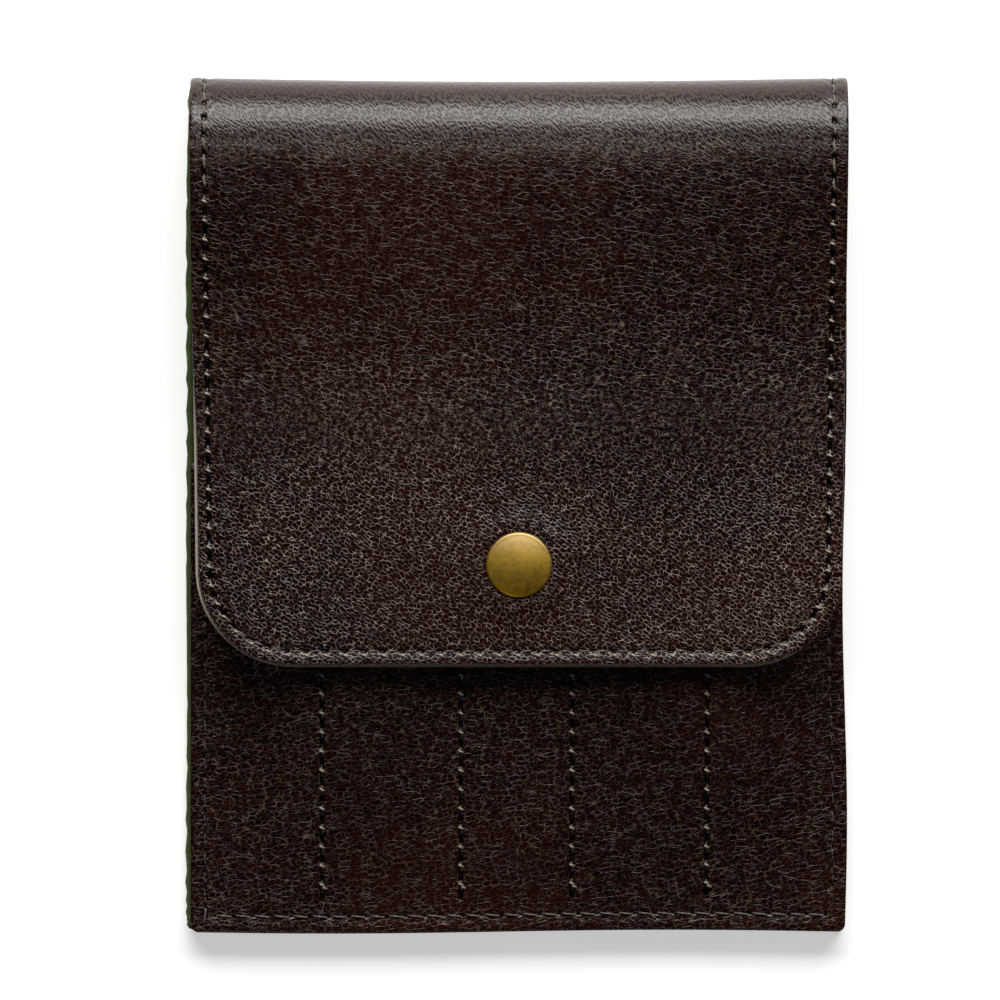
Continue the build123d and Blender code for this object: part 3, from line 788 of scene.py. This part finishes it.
def brass_material(name, roughness):
    """Antique brass: a warm metal with darker mottling and fine scratches, painted paler towards +y and
    deeper orange the other way: painted highlight and painted shade.
    """
    n = Nodes(name, flat=False)
    place = n.grown(n.add("TexCoord", {}).outputs["Object"], 1 / MM)
    mottle = n.noise(place, 0.9, 6.0, 0.7)
    speck = n.noise(place, 5.5, 3.0, 0.6)
    color = n.mix(n.ramp(mottle, 0.38, 0.66), BRASS_BRIGHT, BRASS_DULL)
    color = n.mix(n.ramp(speck, 0.56, 0.7, 0.0, 0.35), color, BRASS_DULL)
    # Painted light: paler towards +y, where the key light's highlight falls on the dome, and a deeper orange
    # towards -y, for its shade.
    across = n.part(n.moved(place, (0, -SNAP_Y, 0)), 1)
    across = n.plus(across, n.times(n.noise(place, 0.35), 2.0))
    color = n.mix(n.ramp(across, 1.0, 6.0), color, BRASS_PAINTED_HIGHLIGHT)
    color = n.mix(n.ramp(across, -1.0, -5.0), color, BRASS_PAINTED_SHADE)
    height = n.plus(n.times(speck, 0.5), mottle)
    rough = n.ramp(mottle, 0.3, 0.7, roughness - 0.05, roughness + 0.1)
    return n.principled(Base_Color=color, Metallic=1.0, Roughness=rough, Normal=n.bump(height, 0.00003, 0.6))


FOLD_START = float(grain_length(np.array(S_BACK)))
FOLDLESS = (-300.0, -200.0)  # a bent part that lies off the leather, for a panel that has none
# The strip's copy of the leather has its cells painted darker than the front's: painted shade over the back,
# fold and flap.
strip_leather = leather_material("strip_leather_grain", 1.0, FOLD_START, S_ROOT, crease_paling=1.0, painted_shade_scale=0.75)
front_leather = leather_material("front_leather_grain", 2.0, *FOLDLESS, crease_paling=0.12, painted_shade_scale=1.0)
cut_edge = edge_material("leather_cut_edge")
flesh = flesh_material("leather_flesh_side")
felt = felt_material("green_felt")
thread = thread_material("brown_thread")
brass = brass_material("antique_brass", 0.42)
steel = Nodes("spring_steel").principled(Base_Color=STEEL, Metallic=1.0, Roughness=0.3)


# ---- pieces: strip
def strip_slot(u, s):
    """Half the length of the slots in the strip's seam: long at the sides, short at the tip."""
    near_fold = 1 - smooth((s - S_ROOT - 4) / 14)
    at_tip = smooth((s - S_TURN - 8) / 8)
    return 1.25 - 0.45 * near_fold - 0.48 * at_tip


STRIP_SEAMS = [(strip_seam, strip_slot)]


def strip_outer(edge_of):
    """Outer face of the strip's leather, given how far each point is from a cut edge."""
    def outer(u, s):
        relief = leather_relief(u, s, STRIP_SEAMS, edge_of(u, s))
        relief = np.where(s < S_BACK + 6, np.minimum(relief, 0), relief)
        return strip_point(u, s, -relief)
    return outer


def strip_inner(u, s):
    return strip_point(u, s, LEATHER)


def in_body(surface):
    """The surface with the small waves of the body's sewn edges."""
    return lambda u, s: body_warp(surface(u, s))


def dress(obj, materials, node, body="case", bend=None):
    """Adds the materials and hides the node that the piece stands for; then it parents the piece to its
    body, or, given a bend, only applies its transform, and the bend's bodies and points are not used.
    """
    for material in materials:
        obj.data.materials.append(material)
    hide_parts(node)
    if bend:
        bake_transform(obj)
    else:
        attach(obj, body)
    return obj


# How many columns and rows of the visible face go to one of the hidden face.
LEATHER_STRIDES, FELT_STRIDES, FOLD_STRIDES = (4, 4), (2, 2), (4, 2)
side_lines = (-SEAM_U, SEAM_U, -HALF_WIDTH, HALF_WIDTH)
strip_us = graded(-HALF_WIDTH, HALF_WIDTH, 0.9, side_lines)


def side_edge(u, s):
    """How far a point is from the strip's long edges."""
    return HALF_WIDTH - np.abs(u)


def back_edge(u, s):
    """How far it is from these or the bottom edge."""
    return np.minimum(side_edge(u, s), s)


# Back: the sheet from the bottom edge to where the fold begins.
back_ss = graded(0, S_BACK, 1.3, (0, BOTTOM_SEAM_INSET), 0.3)
back = solid_sheet("back_leather_sheet", fine_and_coarse(strip_us, back_ss, LEATHER_STRIDES, BODY_CORNER),
                   in_body(strip_outer(back_edge)), in_body(strip_inner), STRIP_SEAMS)
dress(back, [strip_leather, cut_edge], "back_leather")

FELT_FRINGE = 0.25  # loose fibres past the lining's left edge
FELT_PRESSED = 0.3  # how far the seam presses the lining in


def felt_edge(u, s):
    """Moves the lining's left edge: fibres stand out of it, and near the flap it draws in."""
    at_edge = smooth((-u - HALF_WIDTH + 2.0) / 2.3)
    fringe = FELT_FRINGE + 0.12 * np.sin(s * 2.1) + 0.1 * np.sin(s * 5.3 + 1.0) + 0.08 * np.sin(s / 9.0)
    drawn_in = (fringe + 0.9) * smooth((s - S_CREST - 4) / 12)
    hidden = bell(s - S_CREST, 11) * (fringe + 0.6)
    return u - at_edge * (fringe - np.maximum(drawn_in, hidden))


def felt_outer(u, s):
    """The lining's visible face, which is the strip's inner side."""
    depth = STRIP - FELT_PRESSED * bell(strip_seam.near(u, s)[1], 0.9)
    return strip_point(felt_edge(u, s), s, depth)


def felt_inner(u, s):
    return strip_point(felt_edge(u, s), s, LEATHER)


def felt_tone(u, s):
    """Pale at the left edge, a painted highlight where loose fibres catch the light."""
    return smooth((-u - HALF_WIDTH - 0.1) / 0.6)


def felt_sheet(name, grids, outer=felt_outer, inner=felt_inner):
    return solid_sheet(name, grids, outer, inner, STRIP_SEAMS, edge_material=0, tone=felt_tone)


lining_us = graded(lining_low[0], lining_high[0], 1.6, (-SEAM_U, SEAM_U), 0.5)
lining_ss = graded(lining_low[1] - BOTTOM_Y, S_BACK, 2.0, (BOTTOM_SEAM_INSET,), 0.5)
back_felt = felt_sheet("back_felt_sheet", fine_and_coarse(lining_us, lining_ss, FELT_STRIDES, BODY_CORNER),
                       in_body(felt_outer), in_body(felt_inner))
dress(back_felt, [felt], "back_lining")

# Fold: one span of 30 degrees at each bend.
BENDS = 6
bend_bodies = ["case"] + [f"fold_slat_{n}" for n in range(1, BENDS)] + ["flap"]
FOLD_ROW = 0.3


def s_at(angle):
    """Length along the strip at an angle of the fold."""
    if angle <= math.pi / 2:
        return S_BACK + BACK_RADIUS * angle
    return S_CREST + FRONT_RADIUS * (angle - math.pi / 2)


def bend_span(number):
    """Where a bend starts and ends along the strip."""
    return [s_at(n * math.pi / BENDS) for n in (number - 1, number)]


def bend_at(number):
    """Both ends are on the strip's inner side, so that all layers end together."""
    ends = [strip_point(0.0, s, STRIP + strip_lift(0.0, s)) for s in bend_span(number)]
    return (bend_bodies[number - 1], bend_bodies[number],
            *((0.0, float(point[1]) * MM, float(point[2]) * MM) for point in ends))


for number in range(1, BENDS + 1):
    low_s, high_s = bend_span(number)
    rows = np.linspace(low_s, high_s, round((high_s - low_s) / FOLD_ROW) + 1)
    slat = min(number, BENDS - 1)
    span = solid_sheet(f"fold_leather_bend_{number}", fine_and_coarse(strip_us, rows, FOLD_STRIDES),
                       strip_outer(side_edge), strip_inner, STRIP_SEAMS)
    dress(span, [strip_leather, cut_edge], f"fold_leather_{slat}", bend=bend_at(number))
    span = felt_sheet(f"fold_felt_bend_{number}", fine_and_coarse(lining_us, rows, FELT_STRIDES))
    dress(span, [felt], f"fold_lining_{slat}", bend=bend_at(number))


# Flap: the sheet from the end of the fold to the tip. A ring of points lies at each of these insets.
flap_edge = Seam([(-HALF_WIDTH, S_ROOT), (-FLAP_TIP_HALF, S_TURN)]
                 + arc(-TURN_U, S_TURN, FLAP_CORNER, 180, 90)[1:]
                 + arc(TURN_U, S_TURN, FLAP_CORNER, 90, 0) + [(HALF_WIDTH, S_ROOT)])
RINGS = (0, 0.12, 0.3, 0.55, 0.85, 1.2, 1.6, 1.95, 2.25, 2.5, 2.7, 2.9, 3.1, 3.3, 3.6, 4.0, 4.5)
FELT_RINGS = (0, 0.5, 1.2, 1.9, 2.4, 2.9, 3.5, 4.5)
HIDDEN_RINGS = (0, 1.2, 4.5)
FLAP_FELT_INSET = 0.3


def flap_edge_distance(u, s):
    return np.abs(flap_edge.near(u, s)[1])


def flap_slant(u, s):
    """The cut edge leans outwards at the left and less along the tip, so it shows from above."""
    at_left = smooth(-(u + 20) / 40) * smooth((s - S_ROOT - 40) / 20)
    at_tip = smooth((s - S_TIP + 6) / 6)
    edge = bell(flap_edge_distance(u, s), 0.5)
    amount = edge * (0.42 * at_left * (1 - 0.5 * at_tip) + 0.4 * at_tip * (1 - at_left))
    inward = np.stack([-np.sign(u) * (1 - at_tip), -at_tip], axis=-1)
    return inward * amount[:, None]


def flap_outer(u, s):
    """Outer face of the flap, with a dent around the snap."""
    flat = np.stack([u, s], axis=-1) + flap_slant(u, s)
    from_snap = np.hypot(u, s - S_SNAP)
    dent = -0.3 * bell(from_snap, 6.3) + 0.22 * bell(from_snap - 8.0, 2.0)
    relief = leather_relief(u, s, STRIP_SEAMS, flap_edge_distance(u, s)) + dent
    return strip_point(*flat.T, -relief)


def flap_tone(u, s):
    """The left edge is rubbed bare, down to the corner, and the tip's edge only a little."""
    at_tip = smooth((s - S_TIP + 16) / 12)
    at_left = smooth(-(u + 30) / 20) * smooth((s - S_ROOT - 40) / 20)
    return at_left * (1 - at_tip) + 0.15 * at_tip


flap = solid_sheet("flap_leather_sheet", (flap_mesh(0, RINGS), flap_mesh(0, HIDDEN_RINGS, 4)), flap_outer,
                   strip_inner, STRIP_SEAMS, tone=flap_tone)
dress(flap, [strip_leather, cut_edge], "flap_leather", "flap")
flap_felt = felt_sheet("flap_felt_sheet", (flap_mesh(FLAP_FELT_INSET, FELT_RINGS, 2),
                                           flap_mesh(FLAP_FELT_INSET, HIDDEN_RINGS, 4)))
dress(flap_felt, [felt], "flap_lining", "flap")


# ---- pieces: front and pockets
def front_slot(u, s):
    """Half the length of the slots in the front's outer seam, where little shows."""
    return np.where(s < BOTTOM_SEAM_INSET + 0.6, 0.35, 0.3)


def divider_slot(u, s):
    """The same in the seams between the pockets."""
    return np.full(u.shape, 1.28)


FRONT_SEAMS = [(strip_seam, front_slot)] + [(seam, divider_slot) for seam in divider_seams]


def front_outer(u, s):
    relief = leather_relief(u, s, FRONT_SEAMS, np.minimum(back_edge(u, s), FRONT_S - s))
    return front_point(u, s + BOTTOM_Y, -relief)


def front_inner(u, s):
    return front_point(u, s + BOTTOM_Y, LEATHER)


def level_at(height):
    """A level surface, at a height above the table."""
    return lambda u, s: np.stack([u, s + BOTTOM_Y, np.full(u.shape, height)], axis=-1)


front_us = graded(-HALF_WIDTH, HALF_WIDTH, 0.8, side_lines + tuple(DIVIDERS))
front_ss = graded(0, FRONT_S, 0.6, (0, BOTTOM_SEAM_INSET, FRONT_S), 0.25)
front = solid_sheet("front_leather_sheet", fine_and_coarse(front_us, front_ss, LEATHER_STRIDES, BODY_CORNER),
                    in_body(front_outer), in_body(front_inner), FRONT_SEAMS, inner_material=2)
dress(front, [front_leather, cut_edge, flesh], "front_leather")

pocket_us = graded(felt_low[0], felt_high[0], 2.0)
pocket_ss = graded(felt_low[1] - BOTTOM_Y, felt_high[1] - BOTTOM_Y, 2.0)
pocket_grids = fine_and_coarse(pocket_us, pocket_ss, FELT_STRIDES, BODY_CORNER)
pocket_felt = solid_sheet("pocket_felt_sheet", pocket_grids, in_body(level_at(felt_high[2])),
                          in_body(level_at(felt_low[2])), FRONT_SEAMS, edge_material=0)
dress(pocket_felt, [felt], "pocket_felt")

PLEAT_ROWS, PLEAT_SIDE_STEPS, PLEAT_TOP_STEPS = 60, 7, 9
PLEAT_GAP = 0.02  # it stops this far short of the leather, and starts this far in the felt


def pleat(name, middle, sway):
    """A fold of felt that stands between two pockets, up to the front leather."""
    side = np.linspace(0, 1, PLEAT_SIDE_STEPS)
    over = np.linspace(math.pi, 0, PLEAT_TOP_STEPS)[1:-1]
    points, flats = [], []
    for y in np.linspace(FOOT_Y, MOUTH_Y - 1.0, PLEAT_ROWS):
        top = float(front_height(np.array(middle), np.array(y))) - LEATHER - PLEAT_GAP
        low = felt_high[2] - PLEAT_GAP
        lean = sway * math.sin((y - FOOT_Y) / 13)
        rise = max(top - FELT - low, 0.05)
        section = [(-FELT, low + rise * t) for t in side]
        bulge = min(FELT, top - low - rise)
        section += [(FELT * math.cos(a), low + rise + bulge * math.sin(a)) for a in over]
        section += [(FELT, low + rise * t) for t in side[::-1]]
        for number, (x, z) in enumerate(section):
            bow = lean * math.sin(math.pi * min((z - low) / max(top - low, 0.1), 1))
            points.append((middle + x + bow, y, z))
            flats.append((number * 0.6 + middle, y, 0))
    return closed_mesh(name, body_warp(np.array(points)), tube_faces(PLEAT_ROWS, len(section)), sheet=flats)


for number, middle in enumerate(DIVIDERS, 1):
    felt_pleat = pleat(f"divider_pleat_felt_{number}", middle, 0.5 if number % 2 else -0.4)
    dress(felt_pleat, [felt], f"divider_pleat_{number}")


# ---- pieces: stitches
SIDES, STEPS = 10, 16
# A stitch's rings of points run the other way round, so its faces do as well.
STITCH_FACES = [face[:1] + face[:0:-1] for face in tube_faces(STEPS, SIDES)]


def one_stitch(length, slant, lift, radius):
    """A stitch along +x, proud in the middle and diving into a hole at each end."""
    t, angle = np.meshgrid(np.linspace(-1, 1, STEPS), np.linspace(0, 2 * math.pi, SIDES, endpoint=False),
                           indexing="ij")
    reach = t * length / 2
    twist = 1 + 0.14 * np.cos(2 * angle - reach * 5.0)
    thick = radius * twist * (1 - 0.35 * np.abs(t) ** 6)
    y = thick * np.cos(angle) + slant * t
    z = lift - 0.5 * np.abs(t) ** 3.5 + thick * np.sin(angle)
    return np.stack([reach, y, z], axis=-1).reshape(-1, 3)


def thread_piece(name, node, places, body="case", bend=None):
    """All stitches of one seam; places are (point, along, outward, length, slant, lift, radius, tone)."""
    points, faces, flats = [], [], []
    for number, (point, along, outward, length, slant, lift, radius, tone) in enumerate(places):
        local = one_stitch(length, slant, lift, radius)
        points.append(point + local @ np.stack([along, np.cross(outward, along), outward]))
        flats.append(local * (1, 1, 0) + np.array([number * 7.3, number * 3.1, tone]))
        faces += [[i + number * len(local) for i in face] for face in STITCH_FACES]
    obj = closed_mesh(name, np.vstack(points), faces, sheet=np.vstack(flats))
    dress(obj, [thread], node, body, bend)


def unit(vector):
    """The vector with a length of 1."""
    return vector / np.linalg.norm(vector)


def tangent(surface, at, direction, step):
    """A direction of a sheet's own two lengths, turned into a vector in space."""
    u, s = at
    across = surface(u + step, s) - surface(u - step, s)
    along = surface(u, s + step) - surface(u, s - step)
    return unit(unit(across) * direction[0] + unit(along) * direction[1]), across, along


def on_strip(depth, facing):
    """Turns a place of the strip and a direction into a point, along and outward vectors."""
    def place(at, direction):
        step = 0.05
        here = strip_point(*at, depth)
        run, _, _ = tangent(lambda u, s: strip_point(u, s, depth), at, direction, step)
        return here, run, unit(strip_point(*at, depth - step) - here) * facing
    return place


def on_front(at, direction):
    """The same for the front leather."""
    def top(u, s):
        return front_point(u, s + BOTTOM_Y, 0)
    run, across, along = tangent(top, at, direction, 0.4)
    return body_warp(top(*at)), run, unit(np.cross(across, along))


def on_body(place):
    """The same with the small waves of the body's sewn edges."""
    def moved(at, direction):
        here, run, outward = place(at, direction)
        return body_warp(here), run, outward
    return moved


def sewn(seam, place, low_s, high_s, keep=lambda u, s: True, slot_at=None, slant=0.2, lift=0.02,
         radius=THREAD_RADIUS, tone=0.45, share=1.0):
    """Stitches of a seam whose middle is between two values of s; share shortens them."""
    out = []
    for at, direction in seam.stitches():
        if low_s <= at[1] < high_s and keep(*at):
            slot = float(slot_at(*np.array(at)[:, None])[0]) if slot_at else 0.4
            length = (seam.pitch - 1.6 * slot) * share
            out.append((*place(at, direction), length, slant, lift, radius, tone))
    return out


SPECK_LENGTH, SPECK_SLOPE = 1.25, -0.55  # bits of thread beside the holes, painted pale as painted highlights: all lean one way
SPECK_LIFT, SPECK_RADIUS = 0.12, 0.2


def specks(seam, place, low_s, high_s, half_step=0.0, shift=(0, 0), tone=1.0):
    """Short bits of thread painted pale as painted highlights, at each stitch or, half a step on, at each
    hole.
    """
    out = []
    for at, _ in seam.stitches(half_step):
        if low_s <= at[1] < high_s:
            point, _, outward = place(at + shift, (0.0, 1.0))
            lean = np.array([1.0, SPECK_SLOPE, 0.0])
            along = unit(lean - outward * (outward[0] + SPECK_SLOPE * outward[1]))
            out.append((point, along, outward, SPECK_LENGTH, 0.0, SPECK_LIFT, SPECK_RADIUS, tone))
    return out


def on_side(side):
    """Picks the places of a seam that are at one side of the case."""
    return lambda u, s: u * side > SEAM_U - 0.5


def at_bottom(u, s):
    return abs(s - BOTTOM_SEAM_INSET) < 0.5


surface, outside, inside = on_strip(0.0, 1), on_strip(0.1, 1), on_strip(STRIP - 0.2, -1)
outside_body, inside_body = on_body(on_strip(0.5, 1)), on_body(inside)
S_PAST_ROOT = S_ROOT + 10.0
S_TIP_SEAM = S_TURN + 8.0  # from here to the tip the seam looks like the tip's
S_BEYOND = S_TIP + 1.0  # past the end of the strip
S_BOTTOM_SEAM = BOTTOM_SEAM_INSET + 1.0
thread_piece("flap_stitches", "flap_thread",
             specks(strip_seam, surface, S_PAST_ROOT, S_TIP_SEAM)
             + specks(strip_seam, surface, S_TIP_SEAM, S_BEYOND, 0.5, (0.3, 0.85))
             + sewn(strip_seam, outside, S_ROOT, S_PAST_ROOT, slot_at=strip_slot, tone=0.3)
             + sewn(strip_seam, outside, S_TIP_SEAM, S_BEYOND, slot_at=strip_slot, slant=0.08,
                    radius=0.14, tone=0.2)
             + sewn(strip_seam, inside, S_ROOT, S_BEYOND), "flap")
for number in range(1, BENDS + 1):
    # The first two bends are next to the body, and follow the waves of its edges.
    outer_place, inner_place = (outside_body, inside_body) if number < 3 else (outside, inside)
    # On the felt side the same seam runs round a smaller radius, so its stitches are shorter.
    radius = BACK_RADIUS if number <= BENDS / 2 else FRONT_RADIUS
    places = sewn(strip_seam, outer_place, *bend_span(number), slot_at=strip_slot, tone=0.3)
    places += sewn(strip_seam, inner_place, *bend_span(number), share=1 - STRIP / radius)
    if places:
        thread_piece(f"fold_stitches_{number}", f"fold_thread_{min(number, BENDS - 1)}", places,
                     bend=bend_at(number))
for side, mine in (("left", on_side(-1)), ("right", on_side(1))):
    thread_piece(f"side_stitches_{side}", f"side_thread_{side}",
                 sewn(strip_seam, on_front, S_BOTTOM_SEAM, FRONT_S, mine, front_slot, lift=-0.24,
                      radius=0.16, tone=0.12)
                 + sewn(strip_seam, outside_body, S_BOTTOM_SEAM, FRONT_S, mine))
    thread_piece(f"back_edge_stitches_{side}", f"back_edge_thread_{side}",
                 sewn(strip_seam, inside_body, FRONT_S + 4, S_BACK, mine)
                 + sewn(strip_seam, outside_body, FRONT_S, S_BACK, mine))
thread_piece("bottom_stitches", "bottom_thread",
             sewn(strip_seam, on_front, 0, S_BOTTOM_SEAM, at_bottom, front_slot, slant=-0.16,
                  radius=0.17, tone=0.2)
             + sewn(strip_seam, outside_body, 0, S_BOTTOM_SEAM, at_bottom))
BACKTACK = 4.6  # the dividers' last stitches are doubled
for number, seam in enumerate(divider_seams, 1):
    end_s = seam.end[-1][1]
    thread_piece(f"divider_stitches_{number}", f"divider_thread_{number}",
                 specks(seam, on_front, 0, FRONT_S + 1, tone=0.75)
                 + specks(seam, on_front, end_s - 0.5, end_s + BACKTACK, shift=(0.45, -0.55), tone=0.65)
                 + sewn(seam, on_front, 0, FRONT_S + 1, slot_at=divider_slot, slant=0.1, lift=-0.25,
                        radius=0.2, tone=0.1))


# ---- pieces: snap
TURN_STEPS = 96


def turned(name, profile, centre):
    """A closed surface of revolution about Z through the centre; profile is (radius, height)."""
    radius, height = np.array(profile, float).T[..., None]
    angle = np.linspace(0, 2 * math.pi, TURN_STEPS, endpoint=False)
    points = np.stack([centre[0] + radius * np.cos(angle), centre[1] + radius * np.sin(angle),
                       height + 0 * angle], axis=-1)
    return closed_mesh(name, points.reshape(-1, 3), tube_faces(len(profile), TURN_STEPS))


CAP_BASE = FOLD_HEIGHT - 0.35
CAP_TOP = cap_high[2] - 0.15
DOME, DOME_RADIUS, RIM = 0.9, 5.6, 0.65
RIVET_RADIUS, RIVET_HEAD, RIVET_END = 2.0, 2.6, socket_high[2] - 0.8
POLE = 0.02  # a tiny opening in the profile's middle, closed by a cap
cap_profile = [(POLE, CAP_TOP)]
cap_profile += [(r, CAP_TOP - DOME * (r / DOME_RADIUS) ** 2) for r in np.linspace(0.5, DOME_RADIUS, 14)]
cap_profile += [(DOME_RADIUS + RIM * math.sin(a), CAP_TOP - DOME - RIM * (1 - math.cos(a)))
                for a in np.linspace(0.35, math.pi / 2, 8)]
cap_profile += [(CAP_RADIUS, CAP_BASE + 0.12), (CAP_RADIUS - 0.2, CAP_BASE), (RIVET_RADIUS, CAP_BASE),
                (RIVET_RADIUS, RIVET_END + 0.3), (RIVET_HEAD, RIVET_END + 0.25), (RIVET_HEAD, RIVET_END),
                (POLE, RIVET_END)]
cap = turned("snap_cap_dome", cap_profile, (0, SNAP_Y))
dress(cap, [brass], "snap_cap", "flap")

# The other parts of the snap are CAD nodes that stay in view.
for node, material in (("snap_socket", brass), ("snap_stud", brass), ("snap_eyelet", brass),
                       ("snap_ring_spring", steel)):
    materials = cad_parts[node].data.materials
    materials.clear()
    materials.append(material)

# ---- stage, light and camera
IMAGE = 1000  # the photograph's width and height in pixels
PIXELS_PER_MM = 5.26
CENTRE_X_PIXEL, TOP_Y_PIXEL = 519, 77  # where the case's middle and its crest are in the photograph
VIEW_X = (IMAGE / 2 - CENTRE_X_PIXEL) / PIXELS_PER_MM
VIEW_Y = CREST_Y - (IMAGE / 2 - TOP_Y_PIXEL) / PIXELS_PER_MM
CAMERA_HEIGHT = 2.4
SCALE_HEIGHT = 9.0  # millimetres up, where the photo's scale holds
SENSOR = 36.0
FLOOR_HALF, FLOOR_Z = 3.0, -0.00005
AIM = Vector((0, 0, 0.01))

floor_mesh = bpy.data.meshes.new("floor")
corners = ((-1, -1), (1, -1), (1, 1), (-1, 1))
floor_mesh.from_pydata([(x * FLOOR_HALF, y * FLOOR_HALF, FLOOR_Z) for x, y in corners], [], [(0, 1, 2, 3)])
floor_mesh.materials.append(Nodes("pale_floor").principled(
    Base_Color=(0.9, 0.9, 0.9), Roughness=0.9, Emission_Color=(1, 1, 1), Emission_Strength=0.5))
floor = link(bpy.data.objects.new("floor", floor_mesh))


def area_light(name, location, size, power, color=(1, 1, 1)):
    """A rectangular light that looks at the case."""
    data = bpy.data.lights.new(name, "AREA")
    data.shape = "RECTANGLE"
    data.size, data.size_y = size
    data.energy = power
    data.color = color
    obj = link(bpy.data.objects.new(name, data))
    obj.location = location
    obj.rotation_euler = (AIM - Vector(location)).to_track_quat("-Z", "Y").to_euler()


area_light("key_window", (0.1, 1.16, 0.80), (1.9, 0.75), 35.0, (1.0, 0.985, 0.96))
area_light("soft_card", (0.0, 0.78, 1.3), (1.2, 0.5), 0.85)
area_light("fill_low", (-0.35, -1.1, 0.6), (0.6, 0.4), 1.0)
world = bpy.data.worlds.new("studio")
bpy.context.scene.world = world
world.use_nodes = True
background = world.node_tree.nodes["Background"]
background.inputs["Color"].default_value = (0.95, 0.97, 1.0, 1)
background.inputs["Strength"].default_value = 0.014

camera_data = bpy.data.cameras.new("camera")
camera_data.sensor_width = SENSOR
camera_data.lens = SENSOR * (CAMERA_HEIGHT - SCALE_HEIGHT * MM) / (IMAGE / PIXELS_PER_MM * MM)
camera = link(bpy.data.objects.new("camera", camera_data))
camera.location = (VIEW_X * MM, VIEW_Y * MM, CAMERA_HEIGHT)
bpy.context.scene.camera = camera
bpy.context.scene.view_settings.view_transform = "Standard"
